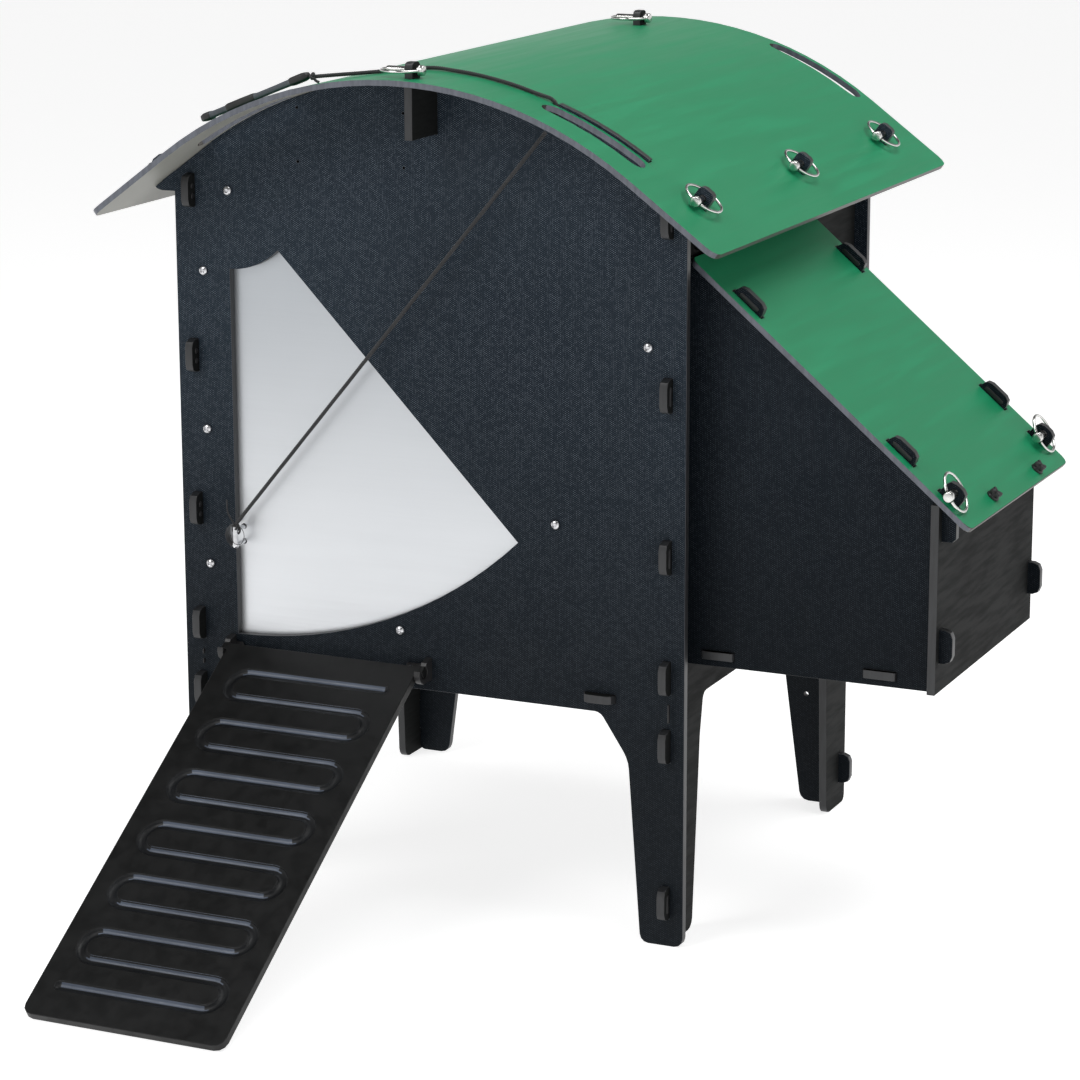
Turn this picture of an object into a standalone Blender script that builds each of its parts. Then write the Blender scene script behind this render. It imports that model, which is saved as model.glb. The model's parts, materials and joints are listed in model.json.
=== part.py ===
"""A raised poultry house cut from sheet, with a swinging door, a ramp and a nest box.

Metres, +Z up. Each piece is drawn with X 0 on the middle of the house, running to the nest box side, and
Y 0 halfway from the front wall to the back wall, growing towards the back. The feet stand on Z 0. An empty
that carries every piece then moves the middle of the whole object's footprint to the origin.
"""

import math

import bmesh
import bpy
from mathutils import Matrix, Vector

GAP = 0.0003  # clearance between two pieces that touch
SHEET = 0.009
ROOF_SHEET = 0.006

WALL_HALF_WIDTH = 0.300
WALL_BOTTOM = 0.2517
FRONT_FACE, FRONT_BACK = -0.281, -0.272
FRONT_MIDDLE = (FRONT_FACE + FRONT_BACK) / 2
SIDE_X = 0.2798  # middle of a side wall
SIDE_OUTER = SIDE_X + SHEET / 2
SIDE_INNER = SIDE_X - SHEET / 2
SIDE_BOTTOM = 0.2587
SIDE_END = -FRONT_BACK - GAP
FLOOR_MIDDLE = 0.2675

ROOF_APEX = 0.9205
ROOF_BEND_RADIUS = 0.450
ROOF_PITCH = math.radians(36.5)
ROOF_HALF_WIDTH = 0.362
ROOF_FRONT, ROOF_BACK = -0.357, 0.372
ROOF_CORNER = 0.013
UNDER_ROOF = ROOF_SHEET + GAP
HAND_SLOT_X = (0.147, 0.260)
ARC_TAB_X = (0.156, 0.256)
ARC_TAB_HEIGHT = 0.003

EAR_X, EAR_BOTTOM = 0.324, 0.779
EAVE_TAB_X = 0.311
ROOF_TAB_LENGTH, ROOF_TAB_HEIGHT, ROOF_TAB_CORNER = 0.019, 0.019, 0.005
PIN_HEIGHT = 0.0078  # a roof pin's axis above the sheet it holds down
RIB_Y, RIB_DEPTH, RIB_UNDER_BEAM, RIB_FOOT_X = 0.007, 0.050, 0.020, 0.262

BEAM_X, BEAM_BOTTOM, BEAM_FRONT = 0.013, 0.857, -0.339
BEAM_TAB_Y, BEAM_TAB_HEIGHT = (-0.328, 0.2705), 0.0167
CORD_NOTCH_X, CORD_NOTCH_BOTTOM = 0.149, 0.8825  # the front wall's notch, beside its arc tab

TAB_LENGTH, TAB_PROUD, TAB_CORNER = 0.036, 0.014, 0.0085
FRONT_TAB_Z = (0.7816, 0.6005, 0.4286, 0.2979, 0.2232, 0.0489)
BACK_TAB_Z = FRONT_TAB_Z[:4]
FLOOR_TAB_X = (-0.2035, 0.2035)
FLOOR_TAB_PROUD = 0.009
LEG_TAB_Z = 0.046

PIVOT_X, PIVOT_Z = -0.2338, 0.7837
HOLE_RADII = (0.0857, 0.494)
HOLE_SWEEP = math.radians(43.8)
NOTCH_Z, NOTCH_RADIUS = 0.4007, 0.014
DOOR_RADIUS, DOOR_HUB, DOOR_SHEET = 0.500, 0.020, 0.002
DOOR_SWEEP = (math.radians(-2.5), math.radians(46.3))
DOOR_MIDDLE = FRONT_BACK + 0.0006 + DOOR_SHEET / 2
SHACKLE_X, SHACKLE_Z = -0.229, 0.4018
SHACKLE_WIRE, SHACKLE_HALF, SHACKLE_REACH = 0.0025, 0.0085, 0.0165
ARC_GUIDE_SWEEP = (math.radians(14), math.radians(78))
ARC_GUIDE_RADII = (0.5035, 0.516)
ARC_SCREW_RADIUS, ARC_SCREW_ANGLES = 0.5094, (23.3, 49.3, 74.7)
EDGE_SCREW_X, EDGE_SCREW_Z = -0.266, (0.6945, 0.519, 0.3668)
EDGE_GUIDE_Z = (0.300, 0.742)
SCREW_HOLE, SCREW_SHANK, SCREW_HEAD = 0.0026, 0.0023, 0.005

RAMP_X = (-0.2357, -0.0021)
RAMP_AXIS_Y, RAMP_AXIS_Z = -0.300, 0.2765
RAMP_SLOPE = math.radians(31.73)
RAMP_LENGTH = (RAMP_AXIS_Z - SHEET / 2 * math.cos(RAMP_SLOPE)) / math.sin(RAMP_SLOPE)
RAMP_END_Y = RAMP_AXIS_Y - RAMP_LENGTH * math.cos(RAMP_SLOPE) - SHEET / 2 * math.sin(RAMP_SLOPE)
RAMP_EAR = 0.0072
RAMP_SCREWS = ((-0.2312, 0.2701), (-0.0192, 0.274))

NEST_FRONT, NEST_BACK = -0.2361, 0.0825
NEST_END_X = 0.559
NEST_BOTTOM, NEST_FLOOR_Z = 0.3033, 0.3155
NEST_FLOOR_TAB_X = (0.320, 0.500)
LID_LOW_X, LID_LOW_Z = 0.5984, 0.4825
LID_SLOPE = math.radians(40.07)
LID_LENGTH, LID_SHEET = 0.400, 0.006
LID_Y = (-0.2507, 0.0964)
LID_TABS = ((0.039, 0.025, 0.019), (0.107, 0.036, 0.012), (0.327, 0.038, 0.012))  # distance, length, height
LID_PIN_TAB, LID_TAB_CORNER = LID_TABS[0][0], 0.008
LID_PIN_HEIGHT = 0.0105
LID_HOOK_Y, LID_HOOK_WIDTH = (-0.216, 0.053), 0.014
LID_PIN_TILT = math.radians(22)
END_TAB_Z = 0.3527
NEST_NOSE_X, NEST_NOSE_Z = 0.5785, 0.4635  # the sides' upper corners, which pass over the end panel

PERCH_Y, PERCH_Z = (0.110, 0.205), 0.400

PIN_RADIUS, PIN_HEAD, PIN_HEAD_LENGTH = 0.004, 0.0055, 0.009
RING_RADIUS, RING_WIRE = 0.0215, 0.0016
CORD_RADIUS = 0.0015
HANDLE_X, HANDLE_Y, HANDLE_LIFT = (-0.2291, -0.1038), -0.330, 0.0102  # its two ends' middles, over the roof

BLACK = ((0.018, 0.019, 0.023), 0.55, 0.0)
GREEN = ((0.055, 0.330, 0.150), 0.40, 0.0)
ALUMINIUM = ((0.62, 0.63, 0.66), 0.42, 1.0)
STEEL = ((0.70, 0.71, 0.74), 0.20, 1.0)
CORD = ((0.012, 0.012, 0.014), 0.85, 0.0)
WOOD = ((0.45, 0.30, 0.17), 0.65, 0.0)

PLANES = {
    "XY": Matrix.Identity(3),
    "XZ": Matrix(((1, 0, 0), (0, 0, -1), (0, 1, 0))),
    "YZ": Matrix(((0, 0, 1), (1, 0, 0), (0, 1, 0))),
}


def clear_scene():
    for obj in list(bpy.data.objects):
        bpy.data.objects.remove(obj, do_unlink=True)


def collection(name):
    made = bpy.data.collections.new(name)
    bpy.context.scene.collection.children.link(made)
    return made


def give_material(obj, finish):
    colour, roughness, metallic = finish
    made = bpy.data.materials.new(obj.name)
    made.use_nodes = True
    shader = made.node_tree.nodes["Principled BSDF"]
    shader.inputs["Base Color"].default_value = (*colour, 1)
    shader.inputs["Roughness"].default_value = roughness
    shader.inputs["Metallic"].default_value = metallic
    obj.data.materials.clear()
    obj.data.materials.append(made)


# outlines, as lists of points in a plane


def arc(centre, radius, start, end, steps):
    """Points on an arc, from one angle to another, in radians."""
    angles = [start + (end - start) * i / steps for i in range(steps + 1)]
    return [(centre[0] + radius * math.cos(a), centre[1] + radius * math.sin(a)) for a in angles]


def circle(centre, radius, steps=12):
    return arc(centre, radius, 0, 2 * math.pi, steps)[:-1]


def rounded(points, radius, steps=3):
    """The outline with each corner rounded. A point with a third value has that radius."""
    outline = []
    for i, point in enumerate(points):
        size = point[2] if len(point) > 2 else radius
        here = Vector(point[:2])
        before = Vector(points[i - 1][:2]) - here
        after = Vector(points[(i + 1) % len(points)][:2]) - here
        half = before.angle(after) / 2
        if size <= 0 or half > math.radians(88):
            outline.append(tuple(here))
            continue
        reach = size / math.tan(half)
        centre = here + (before.normalized() + after.normalized()).normalized() * size / math.sin(half)
        first = here + before.normalized() * reach - centre
        last = here + after.normalized() * reach - centre
        turn = first.angle_signed(last)
        for k in range(steps + 1):
            outline.append(tuple(centre + Matrix.Rotation(-turn * k / steps, 2) @ first))
    return outline


def rectangle(x, y, half_x, half_y, radius=0.0):
    signs = ((-1, -1), (1, -1), (1, 1), (-1, 1))
    corners = [(x + u * half_x, y + v * half_y) for u, v in signs]
    return rounded(corners, radius) if radius else corners


def slot_for_tab(x, y, along_x):
    """The opening that a tab of the house's sheet passes through."""
    half_long, half_thick = TAB_LENGTH / 2 + GAP, SHEET / 2 + GAP
    return rectangle(x, y, half_long, half_thick) if along_x else rectangle(x, y, half_thick, half_long)


def mirrored(outline):
    return [(-x, y) for x, y in reversed(outline)]


def insert_tab(start, end, out, radius=TAB_CORNER):
    """A tab between two edge points, standing out along a direction, with rounded outer corners."""
    start, end, out = Vector(start), Vector(end), Vector(out)
    along = (end - start).normalized()
    inward = out.normalized()
    first, last = start + out, end + out
    return [
        tuple(start),
        *[
            tuple(first + along * radius * (1 - math.cos(a)) - inward * radius * (1 - math.sin(a)))
            for a in (0, math.pi / 4, math.pi / 2)
        ],
        *[
            tuple(last - along * radius * (1 - math.sin(a)) - inward * radius * (1 - math.cos(a)))
            for a in (0, math.pi / 4, math.pi / 2)
        ],
        tuple(end),
    ]


# the roof's curve: an arc over the ridge and a straight slope below it


def roof_point(along, depth=0.0):
    """A point of the cross-section, by its distance along the sheet and its depth under the top."""
    side = math.copysign(1, along)
    angle = min(abs(along) / ROOF_BEND_RADIUS, ROOF_PITCH)
    rest = abs(along) - ROOF_BEND_RADIUS * angle
    radius = ROOF_BEND_RADIUS - depth
    x = radius * math.sin(angle) + rest * math.cos(ROOF_PITCH)
    z = ROOF_APEX - ROOF_BEND_RADIUS + radius * math.cos(angle) - rest * math.sin(ROOF_PITCH)
    return side * x, z


def along_roof(x, depth=0.0):
    """The distance along the sheet at which the cross-section reaches X."""
    radius = ROOF_BEND_RADIUS - depth
    bend = radius * math.sin(ROOF_PITCH)
    if abs(x) <= bend:
        return math.copysign(ROOF_BEND_RADIUS * math.asin(abs(x) / radius), x)
    return math.copysign(ROOF_BEND_RADIUS * ROOF_PITCH + (abs(x) - bend) / math.cos(ROOF_PITCH), x)


def roof_normal(along):
    angle = min(abs(along) / ROOF_BEND_RADIUS, ROOF_PITCH)
    return math.copysign(math.sin(angle), along), math.cos(angle)


def roof_run(start, end, depth, steps):
    return [roof_point(start + (end - start) * i / steps, depth) for i in range(steps + 1)]


EAVE_TAB = along_roof(EAVE_TAB_X)
EAVE_TAB_SPAN = (EAVE_TAB + ROOF_TAB_LENGTH / 2, EAVE_TAB - ROOF_TAB_LENGTH / 2)


def eave_tab():
    """The tab that comes up through the roof near its eave, from its outer foot to its inner one."""
    outer, inner = (roof_point(s, UNDER_ROOF) for s in EAVE_TAB_SPAN)
    rise = Vector(roof_normal(EAVE_TAB)) * (ROOF_TAB_HEIGHT + UNDER_ROOF)
    return insert_tab(outer, inner, rise, ROOF_TAB_CORNER)


def eave_pin_hole():
    x, z = roof_point(EAVE_TAB, -PIN_HEIGHT)
    return circle((x, z), PIN_RADIUS + GAP)


# making the solids


def mesh_of_curve(obj, group):
    """Replaces a curve object by the mesh it evaluates to, with its caps joined on."""
    bpy.context.view_layer.update()
    evaluated = obj.evaluated_get(bpy.context.evaluated_depsgraph_get())
    mesh = bpy.data.meshes.new_from_object(evaluated)
    work = bmesh.new()
    work.from_mesh(mesh)
    bmesh.ops.remove_doubles(work, verts=work.verts, dist=0.00001)
    bmesh.ops.recalc_face_normals(work, faces=work.faces)
    work.to_mesh(mesh)
    work.free()
    name, place = obj.name, obj.matrix_world.copy()
    bpy.data.objects.remove(obj, do_unlink=True)
    made = bpy.data.objects.new(name, mesh)
    made.matrix_world = place
    group.objects.link(made)
    return made


def plate(group, name, loops, thickness, rotation, location, finish, offset=0.0):
    """A flat sheet: the first loop is its outline and the rest are its holes.

    Its middle plane lies an offset from the location, along local Z.
    """
    curve = bpy.data.curves.new(name, "CURVE")
    curve.dimensions = "2D"
    curve.fill_mode = "BOTH"
    curve.extrude = thickness / 2
    for loop in loops:
        spline = curve.splines.new("POLY")
        spline.points.add(len(loop) - 1)
        for point, (x, y) in zip(spline.points, loop):
            point.co = (x, y, 0, 1)
        spline.use_cyclic_u = True
    obj = bpy.data.objects.new(name, curve)
    group.objects.link(obj)
    obj.matrix_world = Matrix.Translation(location) @ rotation.to_4x4()
    made = mesh_of_curve(obj, group)
    made.data.transform(Matrix.Translation((0, 0, offset)))
    if finish:
        give_material(made, finish)
    return made


def tube(group, name, points, radius, finish, location=(0, 0, 0)):
    """A round wire or cord through the points."""
    curve = bpy.data.curves.new(name, "CURVE")
    curve.dimensions = "3D"
    curve.bevel_depth = radius
    curve.bevel_resolution = 1
    curve.use_fill_caps = True
    spline = curve.splines.new("POLY")
    spline.points.add(len(points) - 1)
    for point, place in zip(spline.points, points):
        point.co = (*(Vector(place) - Vector(location)), 1)
    obj = bpy.data.objects.new(name, curve)
    group.objects.link(obj)
    obj.location = location
    made = mesh_of_curve(obj, group)
    give_material(made, finish)
    made.data.shade_smooth()
    return made


def turned(group, name, profile, location, axis, finish, steps=16):
    """A round piece: a profile of (radius, height) spun about an axis, from its bottom to its top."""
    work = bmesh.new()
    points = [work.verts.new((r, 0, h)) for r, h in reversed(profile)]
    for first, second in zip(points, points[1:]):
        work.edges.new((first, second))
    mesh = bpy.data.meshes.new(name)
    work.to_mesh(mesh)
    work.free()
    obj = bpy.data.objects.new(name, mesh)
    group.objects.link(obj)
    screw = obj.modifiers.new("turn", "SCREW")
    screw.steps = screw.render_steps = steps
    screw.use_merge_vertices = True
    screw.merge_threshold = 0.00001
    obj.location = location
    obj.rotation_euler = Vector(axis).to_track_quat("Z", "Y").to_euler()
    give_material(obj, finish)
    return obj


def join(obj, other):
    """Adds another solid to this one with a Boolean union, and removes the other."""
    union = obj.modifiers.new("join", "BOOLEAN")
    union.operation = "UNION"
    union.object = other
    bpy.context.view_layer.update()
    mesh = bpy.data.meshes.new_from_object(obj.evaluated_get(bpy.context.evaluated_depsgraph_get()))
    obj.modifiers.clear()
    obj.data = mesh
    bpy.data.objects.remove(other, do_unlink=True)


# walls, floor and frame


def wall_half(front, with_cord_notch=False):
    """The right half of a front or back wall's outline, from the middle of its bottom to the beam's notch.

    Only the front wall has legs, and a tab that fills a slit along the roof's curve.
    """
    if front:
        low = rounded(
            [
                (0.2035, WALL_BOTTOM, 0.012),
                (0.236, 0.2024, 0.04),
                (0.2507, 0, 0.010),
                (WALL_HALF_WIDTH, 0, 0.010),
                (WALL_HALF_WIDTH, 0.4, 0),
                (0, 0.4, 0),
                (0, WALL_BOTTOM, 0),
            ],
            0,
        )[:-3]
    else:
        low = [(WALL_HALF_WIDTH, WALL_BOTTOM)]
    ear_end = along_roof(EAR_X, UNDER_ROOF)
    ear = [(WALL_HALF_WIDTH, EAR_BOTTOM), (EAR_X - 0.008, EAR_BOTTOM), (EAR_X - 0.002, EAR_BOTTOM + 0.0015)]
    arc_low, arc_high = (along_roof(x) for x in reversed(ARC_TAB_X))
    beam = along_roof(BEAM_X + SHEET / 2 + GAP, UNDER_ROOF)
    cord_notch, top_start = [], arc_high
    if with_cord_notch:
        top_start = along_roof(CORD_NOTCH_X, UNDER_ROOF)
        cord_notch = [(ARC_TAB_X[0], CORD_NOTCH_BOTTOM), (CORD_NOTCH_X, CORD_NOTCH_BOTTOM)]
    return [
        *low,
        *ear,
        roof_point(ear_end, UNDER_ROOF),
        *eave_tab(),
        roof_point(arc_low, UNDER_ROOF),
        *roof_run(arc_low, arc_high, -ARC_TAB_HEIGHT if front else UNDER_ROOF, 5)[0 if front else 1 :],
        *cord_notch,
        *roof_run(top_start, beam, UNDER_ROOF, 6)[0 if front else 1 :],
    ]


def wall_outline(front):
    """Both halves, with the notch that the ridge beam lies in, which is off the middle."""
    right, left = wall_half(front, with_cord_notch=front), mirrored(wall_half(front))
    low_x, high_x = BEAM_X - SHEET / 2 - GAP, BEAM_X + SHEET / 2 + GAP
    low_top, high_top = (roof_point(along_roof(x, UNDER_ROOF), UNDER_ROOF) for x in (low_x, high_x))
    bed = BEAM_BOTTOM - GAP
    notch = [high_top, (high_x, bed), (low_x, bed), low_top]
    return [*right[:-1], *notch, roof_point(0, UNDER_ROOF), *left[1:]]


def eave_pin_holes():
    hole = eave_pin_hole()
    return [hole, mirrored(hole)]


def pop_hole():
    inner, outer = HOLE_RADII
    pivot = (PIVOT_X, PIVOT_Z)
    down = -math.pi / 2
    notch = arc((PIVOT_X, NOTCH_Z), NOTCH_RADIUS, -math.pi / 2, -3 * math.pi / 2, 6)
    return [
        *arc(pivot, inner, down + HOLE_SWEEP, down, 6),
        *reversed(notch),
        *arc(pivot, outer, down, down + HOLE_SWEEP, 16),
    ]


def guide_screw_places():
    places = [(EDGE_SCREW_X, z) for z in EDGE_SCREW_Z]
    for degrees in ARC_SCREW_ANGLES:
        angle = math.radians(degrees)
        x = PIVOT_X + ARC_SCREW_RADIUS * math.sin(angle)
        places.append((x, PIVOT_Z - ARC_SCREW_RADIUS * math.cos(angle)))
    return places


def make_front_wall(group):
    slots = [slot_for_tab(side * SIDE_X, z, False) for z in FRONT_TAB_Z for side in (-1, 1)]
    slots += [slot_for_tab(x, FLOOR_MIDDLE, True) for x in FLOOR_TAB_X]
    screws = [*guide_screw_places(), *RAMP_SCREWS, (PIVOT_X, PIVOT_Z)]
    holes = [circle(place, SCREW_HOLE, 8) for place in screws]
    drilled = [(x, z) for x in (-0.148, -0.022) for z in (0.877, 0.8195)]
    holes += [circle(place, 0.0015, 6) for place in drilled]
    loops = [wall_outline(True), pop_hole(), *eave_pin_holes(), *slots, *holes]
    plate(group, "front_wall", loops, SHEET, PLANES["XZ"], (0, FRONT_MIDDLE, 0), BLACK)


def make_back_wall(group):
    slots = [slot_for_tab(side * SIDE_X, z, False) for z in BACK_TAB_Z for side in (-1, 1)]
    slots += [slot_for_tab(x, FLOOR_MIDDLE, True) for x in FLOOR_TAB_X]
    loops = [wall_outline(False), *eave_pin_holes(), *slots]
    plate(group, "back_wall", loops, SHEET, PLANES["XZ"], (0, -FRONT_MIDDLE, 0), BLACK)


def side_wall_outline():
    """A side wall seen from +X, with Y to the right: legs at both ends and tabs into both end walls."""
    top = roof_point(along_roof(SIDE_OUTER, UNDER_ROOF), UNDER_ROOF)[1]
    reach = FRONT_FACE - TAB_PROUD
    front, back = -SIDE_END, SIDE_END
    rib = (RIB_Y - SHEET / 2 - GAP, RIB_Y + SHEET / 2 + GAP)
    half = TAB_LENGTH / 2
    outline = rounded(
        [
            (front, 0, 0.008),
            (-0.2153, 0, 0.012),
            (-0.1964, 0.2125, 0.04),
            (-0.1872, SIDE_BOTTOM, 0.010),
            (0.1905, SIDE_BOTTOM, 0.010),
            (0.2008, 0.17, 0.04),
            (0.209, 0, 0.012),
            (back, 0, 0.008),
            (back, 0.1, 0),
            (front, 0.1, 0),
        ],
        0,
    )[:-2]
    for z in reversed(BACK_TAB_Z):
        outline += insert_tab((back, z - half), (back, z + half), (-reach - back, 0))
    rib_bed = EAR_BOTTOM - GAP
    outline += [(back, top), (rib[1], top), (rib[1], rib_bed), (rib[0], rib_bed), (rib[0], top)]
    outline.append((front, top))
    for z in FRONT_TAB_Z:
        outline += insert_tab((front, z + half), (front, z - half), (reach - front, 0))
    return outline


def make_side_walls(group):
    leg_slot = slot_for_tab(0.255, LEG_TAB_Z, False)
    rotation = PLANES["YZ"]
    plate(group, "left_wall", [side_wall_outline(), leg_slot], SHEET, rotation, (-SIDE_X, 0, 0), BLACK)
    access = rectangle(-0.077, 0.475, 0.120, 0.130, 0.03)
    nest_slots = [
        slot_for_tab(y, z, False)
        for y in (NEST_FRONT + SHEET / 2, NEST_BACK - SHEET / 2)
        for z in (0.385, 0.600)
    ]
    loops = [side_wall_outline(), leg_slot, access, *nest_slots]
    plate(group, "right_wall", loops, SHEET, rotation, (SIDE_X, 0, 0), BLACK)


def make_floor(group):
    half_x, reach = SIDE_INNER - GAP, -FRONT_FACE + FLOOR_TAB_PROUD
    half = TAB_LENGTH / 2
    outline = [(-half_x, -SIDE_END)]
    for x in FLOOR_TAB_X:
        outline += insert_tab((x - half, -SIDE_END), (x + half, -SIDE_END), (0, SIDE_END - reach))
    outline += [(half_x, -SIDE_END), (half_x, SIDE_END)]
    for x in reversed(FLOOR_TAB_X):
        outline += insert_tab((x + half, SIDE_END), (x - half, SIDE_END), (0, reach - SIDE_END))
    outline.append((-half_x, SIDE_END))
    plate(group, "floor_panel", [outline], SHEET, PLANES["XY"], (0, 0, FLOOR_MIDDLE), BLACK)


def make_rear_leg_frame(group):
    edge, reach = SIDE_INNER - GAP, SIDE_OUTER + TAB_PROUD
    half = TAB_LENGTH / 2
    top = FLOOR_MIDDLE - SHEET / 2 - GAP
    corners = [(0.2142, 0.2, 0.03), (0.2142, 0.158, 0), (0.2357, 0, 0.012), (edge, 0, 0.006)]
    right = [
        *rounded([(0, 0.2, 0), *corners, (edge, 0.1, 0), (0, 0.1, 0)], 0)[1:-2],
        *insert_tab((edge, LEG_TAB_Z - half), (edge, LEG_TAB_Z + half), (reach - edge, 0)),
        (edge, top),
    ]
    hole = circle((0.2413, 0.1335), 0.003, 8)
    loops = [[*right, *mirrored(right)], hole, mirrored(hole)]
    plate(group, "rear_leg_frame", loops, SHEET, PLANES["XZ"], (0, 0.255, 0), BLACK)


def make_centre_rib(group):
    ear_end = along_roof(EAR_X, UNDER_ROOF)
    bend_end = along_roof(RIB_FOOT_X, UNDER_ROOF)
    notch = (BEAM_X - SHEET / 2 - GAP, BEAM_X + SHEET / 2 + GAP)
    edges = [roof_point(along_roof(x, UNDER_ROOF), UNDER_ROOF) for x in notch]
    upper = [roof_point(ear_end, UNDER_ROOF), *eave_tab()]
    upper += roof_run(along_roof(0.28), along_roof(0.05), UNDER_ROOF, 8)
    ear = [(EAR_X - 0.008, EAR_BOTTOM), (EAR_X - 0.002, EAR_BOTTOM + 0.0015)]
    web = BEAM_BOTTOM - RIB_UNDER_BEAM
    low = [(x, min(z, web)) for x, z in roof_run(-bend_end, bend_end, UNDER_ROOF + RIB_DEPTH, 14)]
    beam_bed = [(notch[1], BEAM_BOTTOM - GAP), (notch[0], BEAM_BOTTOM - GAP)]
    right, left = [*ear, *upper], mirrored([*ear, *upper])
    outline = [*low, (RIB_FOOT_X, EAR_BOTTOM), *right, edges[1], *beam_bed, edges[0], *left]
    outline.append((-RIB_FOOT_X, EAR_BOTTOM))
    loops = [outline, *eave_pin_holes()]
    plate(group, "centre_rib", loops, SHEET, PLANES["XZ"], (0, RIB_Y, 0), BLACK)


def make_ridge_beam(group):
    top = roof_point(along_roof(BEAM_X + SHEET / 2, UNDER_ROOF), UNDER_ROOF)[1]
    rise = ROOF_APEX + BEAM_TAB_HEIGHT - top
    back = -FRONT_FACE + TAB_PROUD
    outline = [(BEAM_FRONT, BEAM_BOTTOM), (back, BEAM_BOTTOM), (back, top)]
    for y in reversed(BEAM_TAB_Y):
        half = ROOF_TAB_LENGTH / 2
        outline += insert_tab((y + half, top), (y - half, top), (0, rise), ROOF_TAB_CORNER)
    outline.append((BEAM_FRONT, top))
    holes = [circle((y, ROOF_APEX + PIN_HEIGHT), PIN_RADIUS + GAP) for y in BEAM_TAB_Y]
    plate(group, "ridge_beam", [outline, *holes], SHEET, PLANES["YZ"], (BEAM_X, 0, 0), BLACK)


# roof: a flat sheet with its slots, bent over the ridge


def roof_slots():
    """The slots of the flat sheet, in distance from the ridge and Y."""
    half_tab, half_thick = ROOF_TAB_LENGTH / 2 + 0.0006, SHEET / 2 + 0.0004
    walls = (FRONT_MIDDLE, RIB_Y, -FRONT_MIDDLE)
    slots = [rectangle(side * EAVE_TAB, y, half_tab, half_thick) for y in walls for side in (-1, 1)]
    beam = along_roof(BEAM_X)
    slots += [rectangle(beam, y, half_thick, half_tab) for y in BEAM_TAB_Y]
    hand = [along_roof(x) for x in HAND_SLOT_X]
    narrow = [along_roof(x) for x in ARC_TAB_X]
    for side in (-1, 1):
        middle, half = side * sum(hand) / 2, (hand[1] - hand[0]) / 2
        slots += [rectangle(middle, y, half, 0.013, 0.0125) for y in (-0.300, 0.350)]
        start = along_roof(CORD_NOTCH_X) if side > 0 else narrow[0] - 0.001
        end = narrow[1] + 0.001
        slots.append(rectangle(side * (start + end) / 2, FRONT_MIDDLE, (end - start) / 2, half_thick))
    return slots


def make_roof(group):
    edge = along_roof(ROOF_HALF_WIDTH)
    middle, half = (ROOF_FRONT + ROOF_BACK) / 2, (ROOF_BACK - ROOF_FRONT) / 2
    loops = [rectangle(0, middle, edge, half, ROOF_CORNER), *roof_slots()]
    obj = plate(group, "roof_sheet", loops, ROOF_SHEET, PLANES["XY"], (0, 0, 0), GREEN)
    work = bmesh.new()
    work.from_mesh(obj.data)
    bend = ROOF_BEND_RADIUS * ROOF_PITCH
    bends = 24
    for i in range(bends + 1):
        at = -bend + 2 * bend * i / bends
        geometry = [*work.verts, *work.edges, *work.faces]
        bmesh.ops.bisect_plane(work, geom=geometry, plane_co=(at, 0, 0), plane_no=(1, 0, 0), dist=0.00002)
    for vert in work.verts:
        x, z = roof_point(vert.co.x, ROOF_SHEET / 2 - vert.co.z)
        vert.co = (x, vert.co.y, z)
    work.to_mesh(obj.data)
    work.free()


# door


def door_hinge():
    return Vector((PIVOT_X, DOOR_MIDDLE, PIVOT_Z))


def make_door(group):
    start, end = (a - math.pi / 2 for a in DOOR_SWEEP)
    quarter = math.pi / 2
    outline = [
        *arc((0, 0), DOOR_RADIUS, start, end, 18),
        *arc((0, 0), DOOR_HUB, end + quarter, start + 3 * quarter, 8),
    ]
    x, z = SHACKLE_X - PIVOT_X, SHACKLE_Z - PIVOT_Z
    holes = [circle((0, 0), SCREW_HOLE)]
    holes += [circle((x, z + side * SHACKLE_HALF), SHACKLE_WIRE + 0.0007, 10) for side in (-1, 1)]
    plate(group, "pop_door", [outline, *holes], DOOR_SHEET, PLANES["XZ"], door_hinge(), ALUMINIUM)


def make_shackle(group):
    """A bow through the door's two holes, closed in front of the wall by its pin."""
    centre = Vector((SHACKLE_X, DOOR_MIDDLE, SHACKLE_Z))
    bow = [centre + Vector((0, -SHACKLE_REACH, SHACKLE_HALF))]
    bend = arc((0.002, 0), SHACKLE_HALF, math.pi / 2, -math.pi / 2, 10)
    bow += [centre + Vector((0, y, z)) for y, z in bend]
    bow.append(centre + Vector((0, -SHACKLE_REACH, -SHACKLE_HALF)))
    tube(group, "door_shackle", bow, SHACKLE_WIRE, STEEL, door_hinge())
    half, radius = SHACKLE_HALF + 0.004, 0.0028
    profile = [
        (0, -half),
        (radius * 1.3, -half),
        (radius * 1.3, -half + 0.002),
        (radius, -half + 0.002),
        (radius, half),
        (0, half),
    ]
    place = centre + Vector((0, -SHACKLE_REACH - radius * 1.3 - GAP, 0))
    turned(group, "shackle_pin", profile, place, (0, 0, 1), STEEL, 12)


def make_door_pivot(group):
    """A bolt through the wall and the door, with its nut behind the door."""
    start, end, nut = 0.0125, 0.0165, 0.0048
    profile = [(0, -end), (nut, -end), (nut, -start), (SCREW_SHANK, -start), *screw_profile(0)[2:]]
    turned(group, "door_pivot_bolt", profile, (PIVOT_X, FRONT_FACE - GAP, PIVOT_Z), (0, -1, 0), STEEL)


def screw_profile(shank):
    """A button head with a socket, over a plain shank of a length."""
    return [
        (0, -shank),
        (SCREW_SHANK, -shank),
        (SCREW_SHANK, 0),
        (SCREW_HEAD, 0),
        (SCREW_HEAD, 0.0012),
        (SCREW_HEAD * 0.8, 0.0032),
        (SCREW_HEAD * 0.45, 0.0042),
        (SCREW_HEAD * 0.4, 0.0022),
        (0, 0.0022),
    ]


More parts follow.
